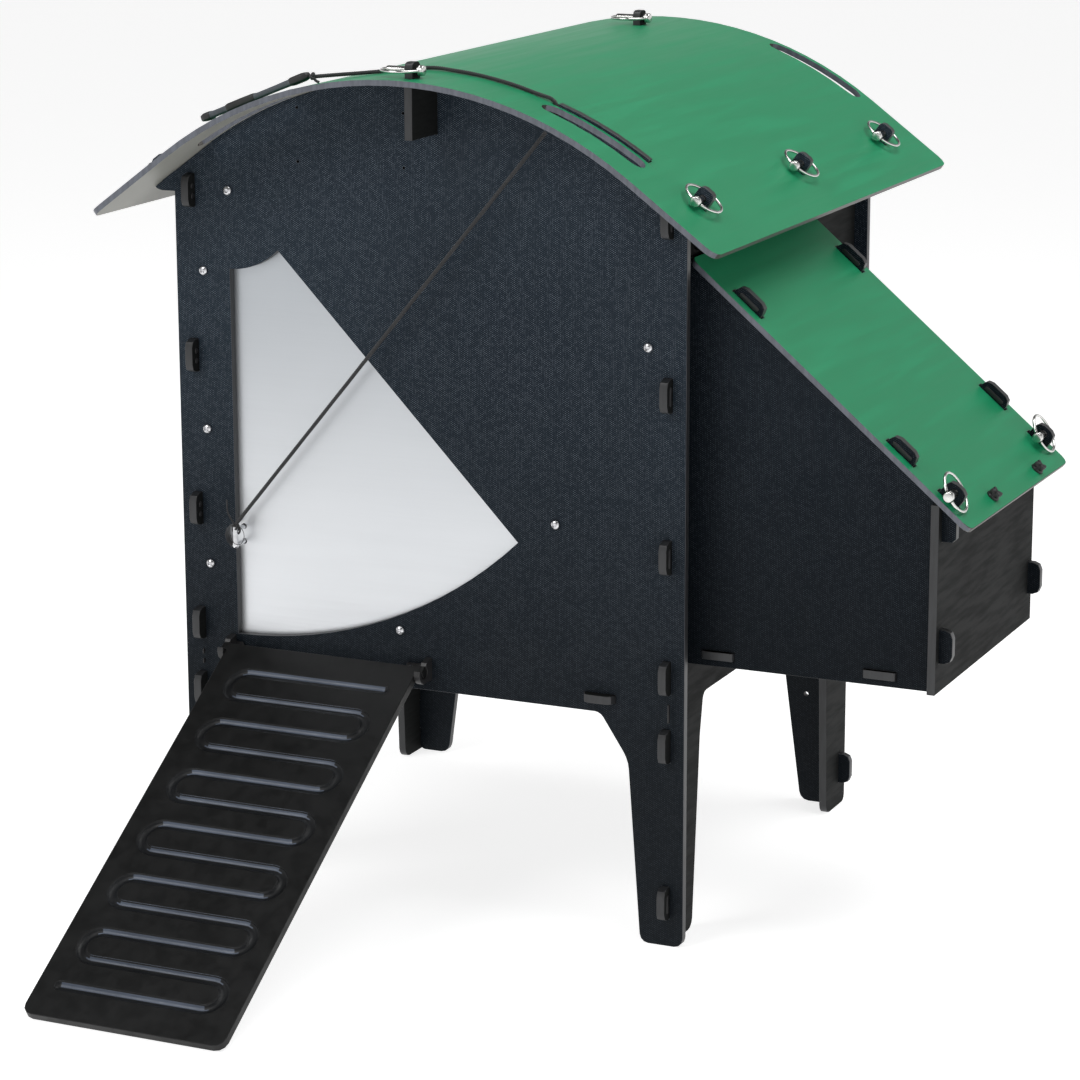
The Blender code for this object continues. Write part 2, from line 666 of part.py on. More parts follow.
def make_door_guides(group):
    behind = FRONT_BACK + GAP
    spacer = DOOR_SHEET + 0.0016
    lip, lip_width = 0.003, 0.012
    profile = [
        (-0.2745, behind),
        (-0.2572, behind),
        (-0.2572, behind + spacer),
        (-0.246, behind + spacer),
        (-0.246, behind + spacer + lip),
        (-0.2745, behind + spacer + lip),
    ]
    low, high = EDGE_GUIDE_Z
    middle = (0, 0, (low + high) / 2)
    guide = plate(group, "door_edge_guide", [profile], high - low, PLANES["XY"], middle, BLACK)
    drill(guide, [(EDGE_SCREW_X, z) for z in EDGE_SCREW_Z])
    start, end = (a - math.pi / 2 for a in ARC_GUIDE_SWEEP)
    inner, outer = ARC_GUIDE_RADII
    pivot = (PIVOT_X, PIVOT_Z)
    holes = [circle(place, SCREW_HOLE, 8) for place in guide_screw_places()[3:]]
    for name, low_radius, thick, front in (
        ("door_arc_spacer", inner, spacer, behind),
        ("door_arc_retainer", inner - lip_width, lip, behind + spacer + GAP),
    ):
        band = [*arc(pivot, outer, start, end, 24), *arc(pivot, low_radius, end, start, 24)]
        plate(group, name, [band, *holes], thick, PLANES["XZ"], (0, front + thick / 2, 0), BLACK)
    for number, (x, z) in enumerate(guide_screw_places(), 1):
        place, out = (x, FRONT_FACE - GAP, z), (0, -1, 0)
        turned(group, f"guide_screw_{number}", screw_profile(0.0150), place, out, STEEL, 12)


def drill(obj, places):
    """Cuts screw holes along Y through a piece."""
    for x, z in places:
        place = (x, FRONT_BACK, z)
        bpy.ops.mesh.primitive_cylinder_add(vertices=10, radius=SCREW_HOLE, depth=0.1, location=place)
        cutter = bpy.context.object
        cutter.rotation_euler = (math.pi / 2, 0, 0)
        cutter.name = f"{obj.name}_drill"
        cutter.hide_render = True
        cutter.display_type = "WIRE"
        for holder in list(cutter.users_collection):
            holder.objects.unlink(cutter)
        bpy.data.collections["cutters"].objects.link(cutter)
        cut = obj.modifiers.new("drill", "BOOLEAN")
        cut.operation = "DIFFERENCE"
        cut.object = cutter


# ramp


def ramp_rotation():
    """Local X across the ramp, local Y up along it, local Z out of its upper face."""
    cos, sin = math.cos(RAMP_SLOPE), math.sin(RAMP_SLOPE)
    return Matrix(((1, 0, 0), (0, cos, -sin), (0, sin, cos)))


def make_ramp(group):
    low_x, high_x = RAMP_X
    middle = (low_x + high_x) / 2
    half, ear = (high_x - low_x) / 2, SHEET / 2
    foot = [(-half, -RAMP_LENGTH, 0.012), (half, -RAMP_LENGTH, 0.012)]
    end = rounded([*foot, (half, 0, 0), (-half, 0, 0)], 0)[:-2]
    outline = [
        *end,
        (half, -ear),
        (half + RAMP_EAR, -ear),
        (half + RAMP_EAR, ear),
        (-half - RAMP_EAR, ear),
        (-half - RAMP_EAR, -ear),
        (-half, -ear),
    ]
    hinge = (middle, RAMP_AXIS_Y, RAMP_AXIS_Z)
    plate(group, "ramp", [outline], SHEET, ramp_rotation(), hinge, BLACK)
    wall = FRONT_FACE - GAP
    inner, outer, flange = 0.0072, 0.0125, 0.0025
    axis = (RAMP_AXIS_Y, RAMP_AXIS_Z)
    hook = [
        (wall, RAMP_AXIS_Z + outer),
        (RAMP_AXIS_Y + 0.006, RAMP_AXIS_Z + 0.0095),
        *arc(axis, inner, math.radians(60), math.radians(-200), 12),
        *arc(axis, outer, math.radians(-200), math.radians(-90), 8),
        (wall, RAMP_AXIS_Z - outer),
    ]
    sides = (("left", -1, low_x, RAMP_SCREWS[0]), ("right", 1, high_x, RAMP_SCREWS[1]))
    for name, side, edge, screw in sides:
        ear_x = edge + side * (GAP + RAMP_EAR / 2 + 0.0002)
        bracket = plate(group, f"ramp_bracket_{name}", [hook], RAMP_EAR, PLANES["YZ"], (ear_x, 0, 0), None)
        far, near = ear_x + side * RAMP_EAR / 2, screw[0] - side * 0.0055
        tongue = rectangle((far + near) / 2, RAMP_AXIS_Z - 0.004, abs(far - near) / 2, 0.0085, 0.003)
        hole = circle(screw, SCREW_HOLE, 8)
        foot = plate(group, "foot", [tongue, hole], flange, PLANES["XZ"], (0, wall - flange / 2, 0), None)
        join(bracket, foot)
        give_material(bracket, BLACK)
        place = (screw[0], wall - flange - GAP, screw[1])
        turned(group, f"ramp_screw_{name}", screw_profile(0.0115), place, (0, -1, 0), STEEL, 12)


# nest box


def lid_rotation():
    """Local X up the slope, local Y to the back, local Z into the box."""
    cos, sin = math.cos(LID_SLOPE), math.sin(LID_SLOPE)
    return Matrix(((-cos, 0, -sin), (0, 1, 0), (sin, 0, -cos)))


def lid_point(distance, height):
    """X and Z at a distance up the lid from its lower edge and a height over its upper face."""
    cos, sin = math.cos(LID_SLOPE), math.sin(LID_SLOPE)
    return LID_LOW_X - distance * cos + height * sin, LID_LOW_Z + distance * sin + height * cos


def nest_side_outline():
    """A nest side seen from the front: its top follows the lid, with tabs through it."""
    wall, end = SIDE_OUTER + GAP, NEST_END_X - SHEET / 2 - GAP
    under = -LID_SHEET - GAP
    half = TAB_LENGTH / 2
    inner_reach, outer_reach = SIDE_INNER - TAB_PROUD, NEST_END_X + SHEET / 2 + TAB_PROUD
    normal = Vector((math.sin(LID_SLOPE), math.cos(LID_SLOPE)))
    outline = [(wall, NEST_BOTTOM), (end, NEST_BOTTOM)]
    outline += insert_tab((end, END_TAB_Z - half), (end, END_TAB_Z + half), (outer_reach - end, 0))
    outline += [(end, NEST_NOSE_Z), (NEST_NOSE_X - 0.004, NEST_NOSE_Z), (NEST_NOSE_X, NEST_NOSE_Z + 0.004)]
    outline.append(under_lid_at(NEST_NOSE_X, under))
    for distance, length, height in LID_TABS:
        foot, head = lid_point(distance - length / 2, under), lid_point(distance + length / 2, under)
        outline += insert_tab(foot, head, normal * (height - under), LID_TAB_CORNER)
    outline.append(under_lid_at(wall, under))
    for z in (0.600, 0.385):
        outline += insert_tab((wall, z + half), (wall, z - half), (inner_reach - wall, 0))
    return outline


def under_lid_at(x, height):
    """The point at X on the line that runs along the lid at a height over its upper face."""
    return lid_point((LID_LOW_X - x + height * math.sin(LID_SLOPE)) / math.cos(LID_SLOPE), height)


def nest_end_outline():
    """The end panel seen from +X, with a notch at each side for the nest sides' upper corners."""
    top = under_lid_at(NEST_END_X + SHEET / 2, -LID_SHEET - GAP)[1]
    notch = NEST_NOSE_Z - GAP
    return [
        (-0.2475, NEST_BOTTOM),
        (0.0868, NEST_BOTTOM),
        (0.0868, top),
        (NEST_BACK + GAP, top),
        (NEST_BACK + GAP, notch),
        (NEST_BACK - SHEET - GAP, notch),
        (NEST_BACK - SHEET - GAP, top),
        (NEST_FRONT + SHEET + GAP, top),
        (NEST_FRONT + SHEET + GAP, notch),
        (NEST_FRONT - GAP, notch),
        (NEST_FRONT - GAP, top),
        (-0.2475, top),
    ]


def make_nest_box(group):
    hole = circle(lid_point(LID_PIN_TAB, LID_PIN_HEIGHT), PIN_RADIUS + GAP)
    floor_slots = [slot_for_tab(x, NEST_FLOOR_Z, True) for x in NEST_FLOOR_TAB_X]
    for name, middle in (("front", NEST_FRONT + SHEET / 2), ("back", NEST_BACK - SHEET / 2)):
        loops = [nest_side_outline(), hole, *floor_slots]
        plate(group, f"nest_side_{name}", loops, SHEET, PLANES["XZ"], (0, middle, 0), BLACK)
    slots = [slot_for_tab(y, END_TAB_Z, False) for y in (NEST_FRONT + SHEET / 2, NEST_BACK - SHEET / 2)]
    loops = [nest_end_outline(), *slots]
    plate(group, "nest_end", loops, SHEET, PLANES["YZ"], (NEST_END_X, 0, 0), BLACK)
    low_y, high_y = NEST_FRONT + SHEET + GAP, NEST_BACK - SHEET - GAP
    low_x, high_x = SIDE_OUTER + GAP, NEST_END_X - SHEET / 2 - GAP
    half, reach = TAB_LENGTH / 2, SHEET + GAP + 0.004
    outline = [(low_x, low_y)]
    for x in NEST_FLOOR_TAB_X:
        outline += insert_tab((x - half, low_y), (x + half, low_y), (0, -reach), 0.003)
    outline += [(high_x, low_y), (high_x, high_y)]
    for x in reversed(NEST_FLOOR_TAB_X):
        outline += insert_tab((x + half, high_y), (x - half, high_y), (0, reach), 0.003)
    outline.append((low_x, high_y))
    plate(group, "nest_floor", [outline], SHEET, PLANES["XY"], (0, 0, NEST_FLOOR_Z), BLACK)


def make_lid(group):
    middle, half = sum(LID_Y) / 2, (LID_Y[1] - LID_Y[0]) / 2
    sheet = rectangle(LID_LENGTH / 2, middle, LID_LENGTH / 2, half, 0.010)
    outline = [(x - LID_LENGTH, y) for x, y in sheet]
    slots = []
    for distance, length, _ in LID_TABS:
        for y in (NEST_FRONT + SHEET / 2, NEST_BACK - SHEET / 2):
            slots.append(rectangle(distance - LID_LENGTH, y, length / 2 + 0.002, SHEET / 2 + 0.0005))
    x, z = lid_point(LID_LENGTH, 0)
    loops = [outline, *slots]
    plate(group, "nest_lid", loops, LID_SHEET, lid_rotation(), (x, 0, z), GREEN, LID_SHEET / 2)


def make_lid_hooks(group):
    """Two hooks on the house's wall, over the lid's upper edge."""
    x, z = lid_point(LID_LENGTH, 0)
    wall, low = SIDE_OUTER + GAP, z + 0.0035
    corners = [
        (wall, low, 0),
        (x + 0.022, low, 0.003),
        (x + 0.027, low + 0.008, 0.004),
        (x + 0.016, low + 0.0095, 0.004),
        (x + 0.006, low + 0.006, 0.004),
        (wall, low + 0.018, 0),
    ]
    outline = rounded(corners, 0)
    for name, y in zip(("front", "back"), LID_HOOK_Y):
        plate(group, f"lid_hook_{name}", [outline], LID_HOOK_WIDTH, PLANES["XZ"], (0, y, 0), BLACK)


def make_perches(group):
    half = SIDE_INNER - GAP
    for name, y in zip(("front", "back"), PERCH_Y):
        profile = rectangle(y, PERCH_Z, 0.016, 0.011, 0.005)
        plate(group, f"perch_{name}", [profile], 2 * half, PLANES["YZ"], (0, 0, 0), WOOD)


# linch pins: a pin through a tab, and a sprung ring that turns on the pin's head


def make_linch_pin(group, name, centre, along, across):
    """The pin runs along one direction from head to tip, and the ring lies in the plane of both."""
    along, across = Vector(along).normalized(), Vector(across).normalized()
    centre = Vector(centre)
    head = centre - along * RING_RADIUS
    length = 2 * RING_RADIUS - RING_WIRE - 0.0012
    front = PIN_HEAD_LENGTH / 2
    profile = [
        (0, -front),
        (PIN_HEAD * 0.85, -front),
        (PIN_HEAD, -front + 0.001),
        (PIN_HEAD, front - 0.001),
        (PIN_HEAD * 0.9, front),
        (PIN_RADIUS, front),
        (PIN_RADIUS, length - 0.002),
        (PIN_RADIUS * 0.5, length),
        (0, length),
    ]
    turned(group, f"{name}_pin", profile, head, along, STEEL, 12)
    open_angle = math.asin((PIN_HEAD + RING_WIRE * 0.35) / RING_RADIUS)
    steps = 22
    points = []
    for i in range(steps + 1):
        angle = math.pi + open_angle + (2 * math.pi - 2 * open_angle) * i / steps
        points.append(centre + RING_RADIUS * (math.cos(angle) * along + math.sin(angle) * across))
    tube(group, f"{name}_ring", points, RING_WIRE, STEEL, head)


def make_linch_pins(group):
    x = BEAM_X + SHEET / 2 + PIN_HEAD_LENGTH / 2 + 0.0005 - RING_RADIUS
    for place, y in zip(("front", "back"), BEAM_TAB_Y):
        centre = (x, y, ROOF_APEX + PIN_HEIGHT)
        make_linch_pin(group, f"ridge_{place}", centre, (-1, 0, 0), (0, 1, 0))
    for side, sign in (("left", -1), ("right", 1)):
        x, z = roof_point(sign * EAVE_TAB, -PIN_HEIGHT)
        down = (sign * math.cos(ROOF_PITCH), 0, -math.sin(ROOF_PITCH))
        for place, y in (("front", FRONT_MIDDLE), ("middle", RIB_Y), ("back", -FRONT_MIDDLE)):
            make_linch_pin(group, f"eave_{side}_{place}", (x, y, z), (0, 1, 0), down)
    x, z = lid_point(LID_PIN_TAB, LID_PIN_HEIGHT)
    tilt = LID_SLOPE + LID_PIN_TILT
    down = (math.cos(tilt), 0, -math.sin(tilt))
    for place, y in (("front", NEST_FRONT + SHEET / 2), ("back", NEST_BACK - SHEET / 2)):
        make_linch_pin(group, f"lid_{place}", (x, y, z), (0, 1, 0), down)


# cord and its handle


def make_cord(group):
    """The handle lies on the left slope by its front edge. The cord leaves it over the ridge, goes down through
    the slit beside the front wall's arc tab, forward through the wall's notch, and down to the door.
    """
    foot, top = (roof_point(along_roof(x), -HANDLE_LIFT) for x in HANDLE_X)
    slope = math.atan2(top[1] - foot[1], top[0] - foot[0])
    bar = rectangle(0, 0, math.dist(foot, top) / 2, 0.0045, 0.0040)
    turn = PLANES["XZ"] @ Matrix.Rotation(slope, 3, "Z")
    middle = ((foot[0] + top[0]) / 2, HANDLE_Y, (foot[1] + top[1]) / 2)
    plate(group, "cord_handle", [bar], 0.016, turn, middle, BLACK)
    lift = CORD_RADIUS + 0.0006
    upper = [(top[0] + 0.004, HANDLE_Y, top[1]), (-0.050, -0.2925, 0.9207)]
    over = ((-0.004, -0.258), (0.030, -0.2625), (0.065, -0.2675), (0.100, -0.2715), (0.130, -0.2742))
    for x, y in (*over, (0.144, -0.2755)):
        x, z = roof_point(along_roof(x), -lift)
        upper.append((x, y, z))
    upper += [(0.1485, -0.2760, 0.8973), (0.1505, -0.2763, 0.8963), (0.1515, -0.2765, 0.8946)]
    upper += [(0.1521, -0.2768, 0.8912), (0.1521, -0.2776, 0.8876), (0.1520, -0.2800, 0.8852)]
    upper += [(0.1518, -0.2840, 0.8843), (0.1514, -0.2900, 0.8800), (0.1510, -0.2985, 0.8720)]
    tube(group, "cord_upper", upper, CORD_RADIUS, CORD)
    anchor = Vector((0.1505, -0.2990, 0.8685))
    knot = Vector((SHACKLE_X, DOOR_MIDDLE - SHACKLE_REACH - 0.004, SHACKLE_Z + SHACKLE_HALF + 0.0055))
    steps = 8
    lower = [anchor.lerp(knot, i / steps) for i in range(steps + 1)]
    tube(group, "cord_lower", lower, CORD_RADIUS, CORD)


def centre_footprint():
    """Hangs every piece and cutter on one empty, which puts the middle of the footprint at the origin."""
    middle_x = (LID_LOW_X - ROOF_HALF_WIDTH) / 2
    middle_y = (ROOF_BACK + RAMP_END_Y) / 2
    frame = bpy.data.objects.new("coop_frame", None)
    bpy.context.scene.collection.objects.link(frame)
    frame.location = (-middle_x, -middle_y, 0)
    for obj in bpy.data.objects:
        if obj.type == "MESH":
            obj.parent = frame


def main():
    clear_scene()
    house = collection("chicken_coop")
    collection("cutters")
    make_front_wall(house)
    make_back_wall(house)
    make_side_walls(house)
    make_floor(house)
    make_rear_leg_frame(house)
    make_centre_rib(house)
    make_ridge_beam(house)
    make_roof(house)
    make_door(house)
    make_shackle(house)
    make_door_pivot(house)
    make_door_guides(house)
    make_ramp(house)
    make_nest_box(house)
    make_lid(house)
    make_lid_hooks(house)
    make_perches(house)
    make_linch_pins(house)
    make_cord(house)
    centre_footprint()


main()
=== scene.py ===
import json
import math

import bmesh
import bpy
from mathutils import Matrix, Vector
from mathutils.bvhtree import BVHTree
from mathutils.geometry import tessellate_polygon


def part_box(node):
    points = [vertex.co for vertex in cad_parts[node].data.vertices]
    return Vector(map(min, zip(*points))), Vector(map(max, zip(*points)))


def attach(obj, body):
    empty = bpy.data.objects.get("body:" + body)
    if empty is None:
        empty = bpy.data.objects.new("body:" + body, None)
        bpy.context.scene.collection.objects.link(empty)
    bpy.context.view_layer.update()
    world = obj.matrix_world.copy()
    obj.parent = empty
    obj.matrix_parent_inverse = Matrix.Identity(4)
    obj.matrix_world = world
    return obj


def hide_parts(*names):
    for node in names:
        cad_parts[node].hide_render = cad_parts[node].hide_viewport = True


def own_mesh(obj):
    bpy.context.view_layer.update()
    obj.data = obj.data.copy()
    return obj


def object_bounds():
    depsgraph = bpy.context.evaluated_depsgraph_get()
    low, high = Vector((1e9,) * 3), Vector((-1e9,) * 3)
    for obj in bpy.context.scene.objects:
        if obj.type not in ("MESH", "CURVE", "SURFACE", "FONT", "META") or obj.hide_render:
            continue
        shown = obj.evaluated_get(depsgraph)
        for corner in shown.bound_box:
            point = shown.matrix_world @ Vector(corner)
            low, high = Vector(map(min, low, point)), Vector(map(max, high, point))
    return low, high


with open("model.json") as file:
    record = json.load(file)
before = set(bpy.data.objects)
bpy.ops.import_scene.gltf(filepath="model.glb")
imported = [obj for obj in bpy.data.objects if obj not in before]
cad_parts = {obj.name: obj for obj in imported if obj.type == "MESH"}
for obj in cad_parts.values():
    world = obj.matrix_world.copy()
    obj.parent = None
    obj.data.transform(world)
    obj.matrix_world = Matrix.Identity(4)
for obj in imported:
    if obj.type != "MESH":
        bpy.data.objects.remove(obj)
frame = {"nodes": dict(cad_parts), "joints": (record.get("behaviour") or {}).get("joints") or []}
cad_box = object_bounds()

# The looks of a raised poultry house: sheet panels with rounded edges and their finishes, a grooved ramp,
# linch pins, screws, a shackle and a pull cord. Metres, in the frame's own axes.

NODES = frame["nodes"]
JOINTS = {joint["name"]: joint for joint in frame["joints"]}

MERGE = 0.00002  # corners of a CAD mesh nearer than this are one
FLAT = 0.7  # a face counts as flat side or edge by this share of its normal
SHARP, SHEET_CREASE, MADE_CREASE, GROOVE_CREASE = (math.radians(a) for a in (30, 35, 40, 34))

# how far each kind of edge is rounded
EDGE_ROUND, LID_ROUND, DOOR_ROUND, GUIDE_ROUND = 0.0007, 0.0006, 0.0003, 0.0004
BRACKET_ROUND, HOOK_ROUND, PERCH_ROUND = 0.0006, 0.0016, 0.0012

DOT_PITCH = 0.0021  # the embossed dots of the black sheet

GROOVE_PITCH, GROOVE_COUNT = 0.037, 13
GROOVE_WIDTH, GROOVE_DEPTH = 0.012, 0.0034
GROOVE_SIDE_MARGIN, GROOVE_END_MARGIN = 0.020, 0.040
GROOVE_SIDES, GROOVE_STEPS, GROOVE_TIP = 32, 12, 0.0002
HIGHLIGHT_DIP, HIGHLIGHT_TURN = (-0.72, -0.12), 0.12  # painted highlight: the groove's faces that look down the ramp take a lighter material
RAMP_EAR = 0.0074

RING_WIRE, RING_STEPS, RING_SIDES = 0.0016, 72, 14
PIN_SHORT = 0.0012  # how far a pin's tip stays from its ring's far side
PIN_RADIUS, PIN_HEAD, PIN_HEAD_LENGTH = 0.004, 0.0055, 0.009
SCREW_HEAD, SCREW_SHANK = 0.005, 0.0022
SEAT = 0.0003  # how far a screw's head starts in front of the wall
SCREW_STEPS = 36
THREAD_PITCH, THREAD_CORE = 0.0008, 0.86
RAMP_SCREW_SEAT = 0.0042  # from the front of a ramp screw's box
NUT_START, NUT_RADIUS = 0.0128, 0.0047

# catches: half length, half width and height
TAB_BAR, TAB_STUD, LID_BAR = (0.0105, 0.0026, 0.0009), (0.0031, 0.0026, 0.0010), (0.0130, 0.0024, 0.0007)
TAB_BAR_OUT, TAB_STUD_OUT, TAB_STUD_SHIFT = 0.0050, 0.0052, 0.0055
TAB_REACH, TAB_SPREAD = 0.010, 0.05  # how far a tab stands out at least, and its length at most
LID_BAR_PLACES, LID_BAR_LIFT = (0.107, 0.327), 0.0036  # up the lid from its lower edge
LID_STUDS = (("front", -0.141, 0.016), ("back", 0.009, 0.013))  # Y from the middle, and up the lid
STUD_BOSS = ((0, 0), (0.0070, 0), (0.0072, 0.0012), (0.0066, 0.0030), (0.0050, 0.0036), (0.0048, 0.0060))
STUD_TOP = ((0.0042, 0.0068), (0, 0.0070))
STUD_BAR, STUD_BAR_LIFT = (0.0078, 0.0021, 0.0040), 0.0046

CORD_RADIUS, ROPE_RADIUS = 0.0015, 0.0021  # the plain cord's, and the laid cord's over its strands
ROPE_STRANDS, STRAND_SIDES, ROPE_LAY, ROPE_STEP = 4, 6, 0.010, 0.0011
KNOT_STEPS = 72
HANDLE_ROUND = 0.0045
HANDLE_STEPS, HANDLE_ROWS, HANDLE_SQUARE = 28, 96, 0.55
# share of the handle's length, half width, half height
HANDLE_STATIONS = (
    ((0.00, 0.0030, 0.0016), (0.012, 0.0060, 0.0036), (0.04, 0.0076, 0.0046), (0.08, 0.0076, 0.0046))
    + ((0.11, 0.0058, 0.0036), (0.23, 0.0058, 0.0036), (0.27, 0.0078, 0.0047), (0.38, 0.0080, 0.0047))
    + ((0.49, 0.0076, 0.0045), (0.53, 0.0056, 0.0034), (0.68, 0.0054, 0.0034), (0.82, 0.0058, 0.0036))
    + ((0.86, 0.0076, 0.0047), (0.95, 0.0076, 0.0047), (0.985, 0.0060, 0.0038), (1.00, 0.0030, 0.0016))
)
HANDLE_DARK = ((0.0, 0.095), (0.25, 0.51), (0.84, 1.0))  # the swollen grips, by share of the length
KNOT_OUT = 0.0085  # from the handle's end to the cord's knot
# the cord over the roof and down through the slit by the front wall's tab, from the middle of the house
CORD_OVER = ((-0.004, -0.258), (0.030, -0.2625), (0.065, -0.2675), (0.100, -0.2715), (0.130, -0.2742))
CORD_DOWN = (
    (0.1440, -0.2755, 0.9003),
    (0.1485, -0.2760, 0.8977),
    (0.1508, -0.2764, 0.8958),
    (0.1519, -0.2767, 0.8925),
    (0.1521, -0.2776, 0.8876),
    (0.1520, -0.2800, 0.8852),
    (0.1518, -0.2840, 0.8843),
    (0.1514, -0.2900, 0.8800),
)
SHACKLE_WIRE = 0.0025

CAMERA_PLACE = (1.653, -3.6112, 1.3377)  # from the middle of the house, at floor level
CAMERA_TURN, CAMERA_DIP, CAMERA_ROLL = math.radians(24.5176), math.radians(13.8847), math.radians(-0.16)
CAMERA_LENS, CAMERA_SENSOR, CAMERA_FAR = 118.8, 36.0, 60

# name, place, target, width, height and watts
LAMPS = (
    ("key", (-1.6, -2.6, 3.2), (0, 0, 0.5), 2.2, 1.6, 62),
    ("top", (0.9, 0.4, 3.4), (0.1, 0, 0.5), 2.4, 2.4, 75),
    ("fill", (3.2, -1.2, 2.2), (0.2, 0, 0.5), 1.8, 1.8, 8),
)
# the surround's brightness by the height that is looked at, from straight down to straight up
SURROUND = ((0.0, 1.0), (0.14, 0.85), (0.24, 0.56), (0.42, 0.24), (0.52, 0.12), (1.0, 0.09))
FLOOR_HALF, FLOOR_DROP, FLOOR_GLOW = 30, 0.0004, 0.80

X, Y, Z = Vector((1, 0, 0)), Vector((0, 1, 0)), Vector((0, 0, 1))


def house_middle():
    """The middle of the house's walls, on the floor."""
    front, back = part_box("front_wall"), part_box("back_wall")
    return Vector(((back[0].x + back[1].x) / 2, (front[0].y + back[1].y) / 2, 0))


MIDDLE = house_middle()
FRONT_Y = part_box("front_wall")[0].y


# materials


class Finish:
    """A material and short calls for the nodes that shade it."""

    def __init__(self, name, colour, roughness, metallic=0.0, **sockets):
        self.material = bpy.data.materials.new(name)
        self.material.use_nodes = True
        self.tree = self.material.node_tree
        self.shader = self.tree.nodes["Principled BSDF"]
        self.set("Base Color", (*colour, 1))
        self.set("Roughness", roughness)
        self.set("Metallic", metallic)
        for socket, value in sockets.items():
            self.set(socket.replace("_", " "), value)
        self.place = self.node("ShaderNodeTexCoord").outputs["Object"]

    def set(self, socket, value):
        self.shader.inputs[socket].default_value = value

    def node(self, kind, inputs=(), **settings):
        made = self.tree.nodes.new(kind)
        for key, value in settings.items():
            setattr(made, key, value)
        for key, value in dict(inputs).items():
            if isinstance(value, bpy.types.NodeSocket):
                self.tree.links.new(value, made.inputs[key])
            else:
                made.inputs[key].default_value = value
        return made

    def link(self, output, socket):
        self.tree.links.new(output, self.shader.inputs[socket])

    def math(self, operation, *values):
        return self.node("ShaderNodeMath", enumerate(values), operation=operation).outputs[0]

    def stretched(self, scale, turn=0.0):
        """The place in the piece, turned about Z and scaled along each axis."""
        inputs = {"Vector": self.place, "Rotation": (0, 0, turn), "Scale": scale}
        return self.node("ShaderNodeMapping", inputs).outputs[0]

    def noise(self, scale, detail=3.0, rough=0.55, place=None):
        inputs = {"Vector": place or self.place, "Scale": scale, "Detail": detail, "Roughness": rough}
        return self.node("ShaderNodeTexNoise", inputs).outputs["Fac"]

    def between(self, value, low, high, out_low=0.0, out_high=1.0):
        inputs = {"Value": value, "From Min": low, "From Max": high}
        inputs |= {"To Min": out_low, "To Max": out_high}
        return self.node("ShaderNodeMapRange", inputs, interpolation_type="SMOOTHSTEP").outputs[0]

    def mix(self, share, first, second):
        made = self.node("ShaderNodeMix", data_type="RGBA")
        for index, value in ((0, share), (6, first), (7, second)):
            if isinstance(value, bpy.types.NodeSocket):
                self.tree.links.new(value, made.inputs[index])
            elif index:
                made.inputs[index].default_value = (*value, 1)
            else:
                made.inputs[index].default_value = value
        return made.outputs[2]

    def bump(self, height, strength, distance, under=None):
        inputs = {"Height": height, "Strength": strength, "Distance": distance}
        if under:
            inputs["Normal"] = under
        return self.node("ShaderNodeBump", inputs).outputs[0]

    def tint(self, share, first, second):
        self.link(self.mix(share, first, second), "Base Color")

    def roughen(self, value, low, high, out_low, out_high):
        self.link(self.between(value, low, high, out_low, out_high), "Roughness")

    def relief(self, height, strength, distance, under=None):
        self.link(self.bump(height, strength, distance, under), "Normal")


def embossed_black(name, shade, gloss):
    """Black sheet with raised dots in staggered rows over X and Z, darker towards the ground. Painted
    highlights colour the dots' tips lighter, and a shade below 1 darkens every tone as painted shade.
    """
    made = Finish(name, (0.010, 0.017, 0.026), 0.5, Specular_IOR_Level=gloss)
    split = made.node("ShaderNodeSeparateXYZ", {0: made.place})
    row_turns, column_turns = 2 * math.pi / (DOT_PITCH * math.sqrt(3)), 2 * math.pi / DOT_PITCH
    rows = made.math("COSINE", made.math("MULTIPLY", split.outputs[0], row_turns))
    columns = made.math("COSINE", made.math("MULTIPLY", split.outputs[2], column_turns))
    dots = made.between(made.math("MULTIPLY", rows, columns), 0.34, 0.80)
    # painted highlights: the dots' tips are coloured lighter, with their brightness varied at random
    tip_highlight_variation = made.between(made.noise(310, 2), 0.38, 0.66)
    patches = made.between(made.noise(2.2, 2), 0.3, 0.7)
    bare_low, bare_high = (0.0060, 0.0110, 0.0170), (0.0110, 0.0180, 0.0260)
    tip_low, tip_high = (0.042, 0.058, 0.080), (0.150, 0.180, 0.220)
    # shade scales every tone; below 1 it is painted shade
    tones = [tuple(c * shade for c in tone) for tone in (bare_low, bare_high, tip_low, tip_high)]
    bare = made.mix(patches, tones[0], tones[1])
    tips = made.mix(tip_highlight_variation, tones[2], tones[3])
    rise = made.between(split.outputs[2], 0.12, 0.72, 0.22, 1.0)
    dotted = made.mix(dots, bare, tips)
    made.tint(rise, (0.002, 0.003, 0.004), dotted)
    made.roughen(made.noise(35, 3), 0.3, 0.7, 0.44, 0.58)
    grain = made.bump(made.noise(420, 3), 0.12, 0.0004)
    made.relief(dots, 0.55, 0.0003, grain)
    return made.material


def smooth_black():
    """The plain side of the black sheet, with faint scuffs."""
    made = Finish("smooth_black", (0.009, 0.010, 0.010), 0.7, Specular_IOR_Level=0.12)
    cloud = made.between(made.noise(6, 4), 0.3, 0.75)
    made.tint(cloud, (0.006, 0.0065, 0.0065), (0.011, 0.012, 0.012))
    scuffs = made.noise(1, 4, 0.6, made.stretched((16, 16, 130)))
    made.roughen(scuffs, 0.35, 0.7, 0.66, 0.80)
    made.relief(made.noise(260, 4), 0.10, 0.0005)
    return made.material


def cut_edge(name, colour, roughness):
    """A milled edge: fine cutter lines, a little lighter than the sheet's faces."""
    made = Finish(name, colour, roughness)
    lines = made.noise(1, 2, 0.5, made.stretched((240, 240, 40)))
    tone = made.between(lines, 0.3, 0.7)
    darker = tuple(c * 0.72 for c in colour)
    made.tint(tone, darker, colour)
    made.relief(lines, 0.15, 0.0003)
    return made.material


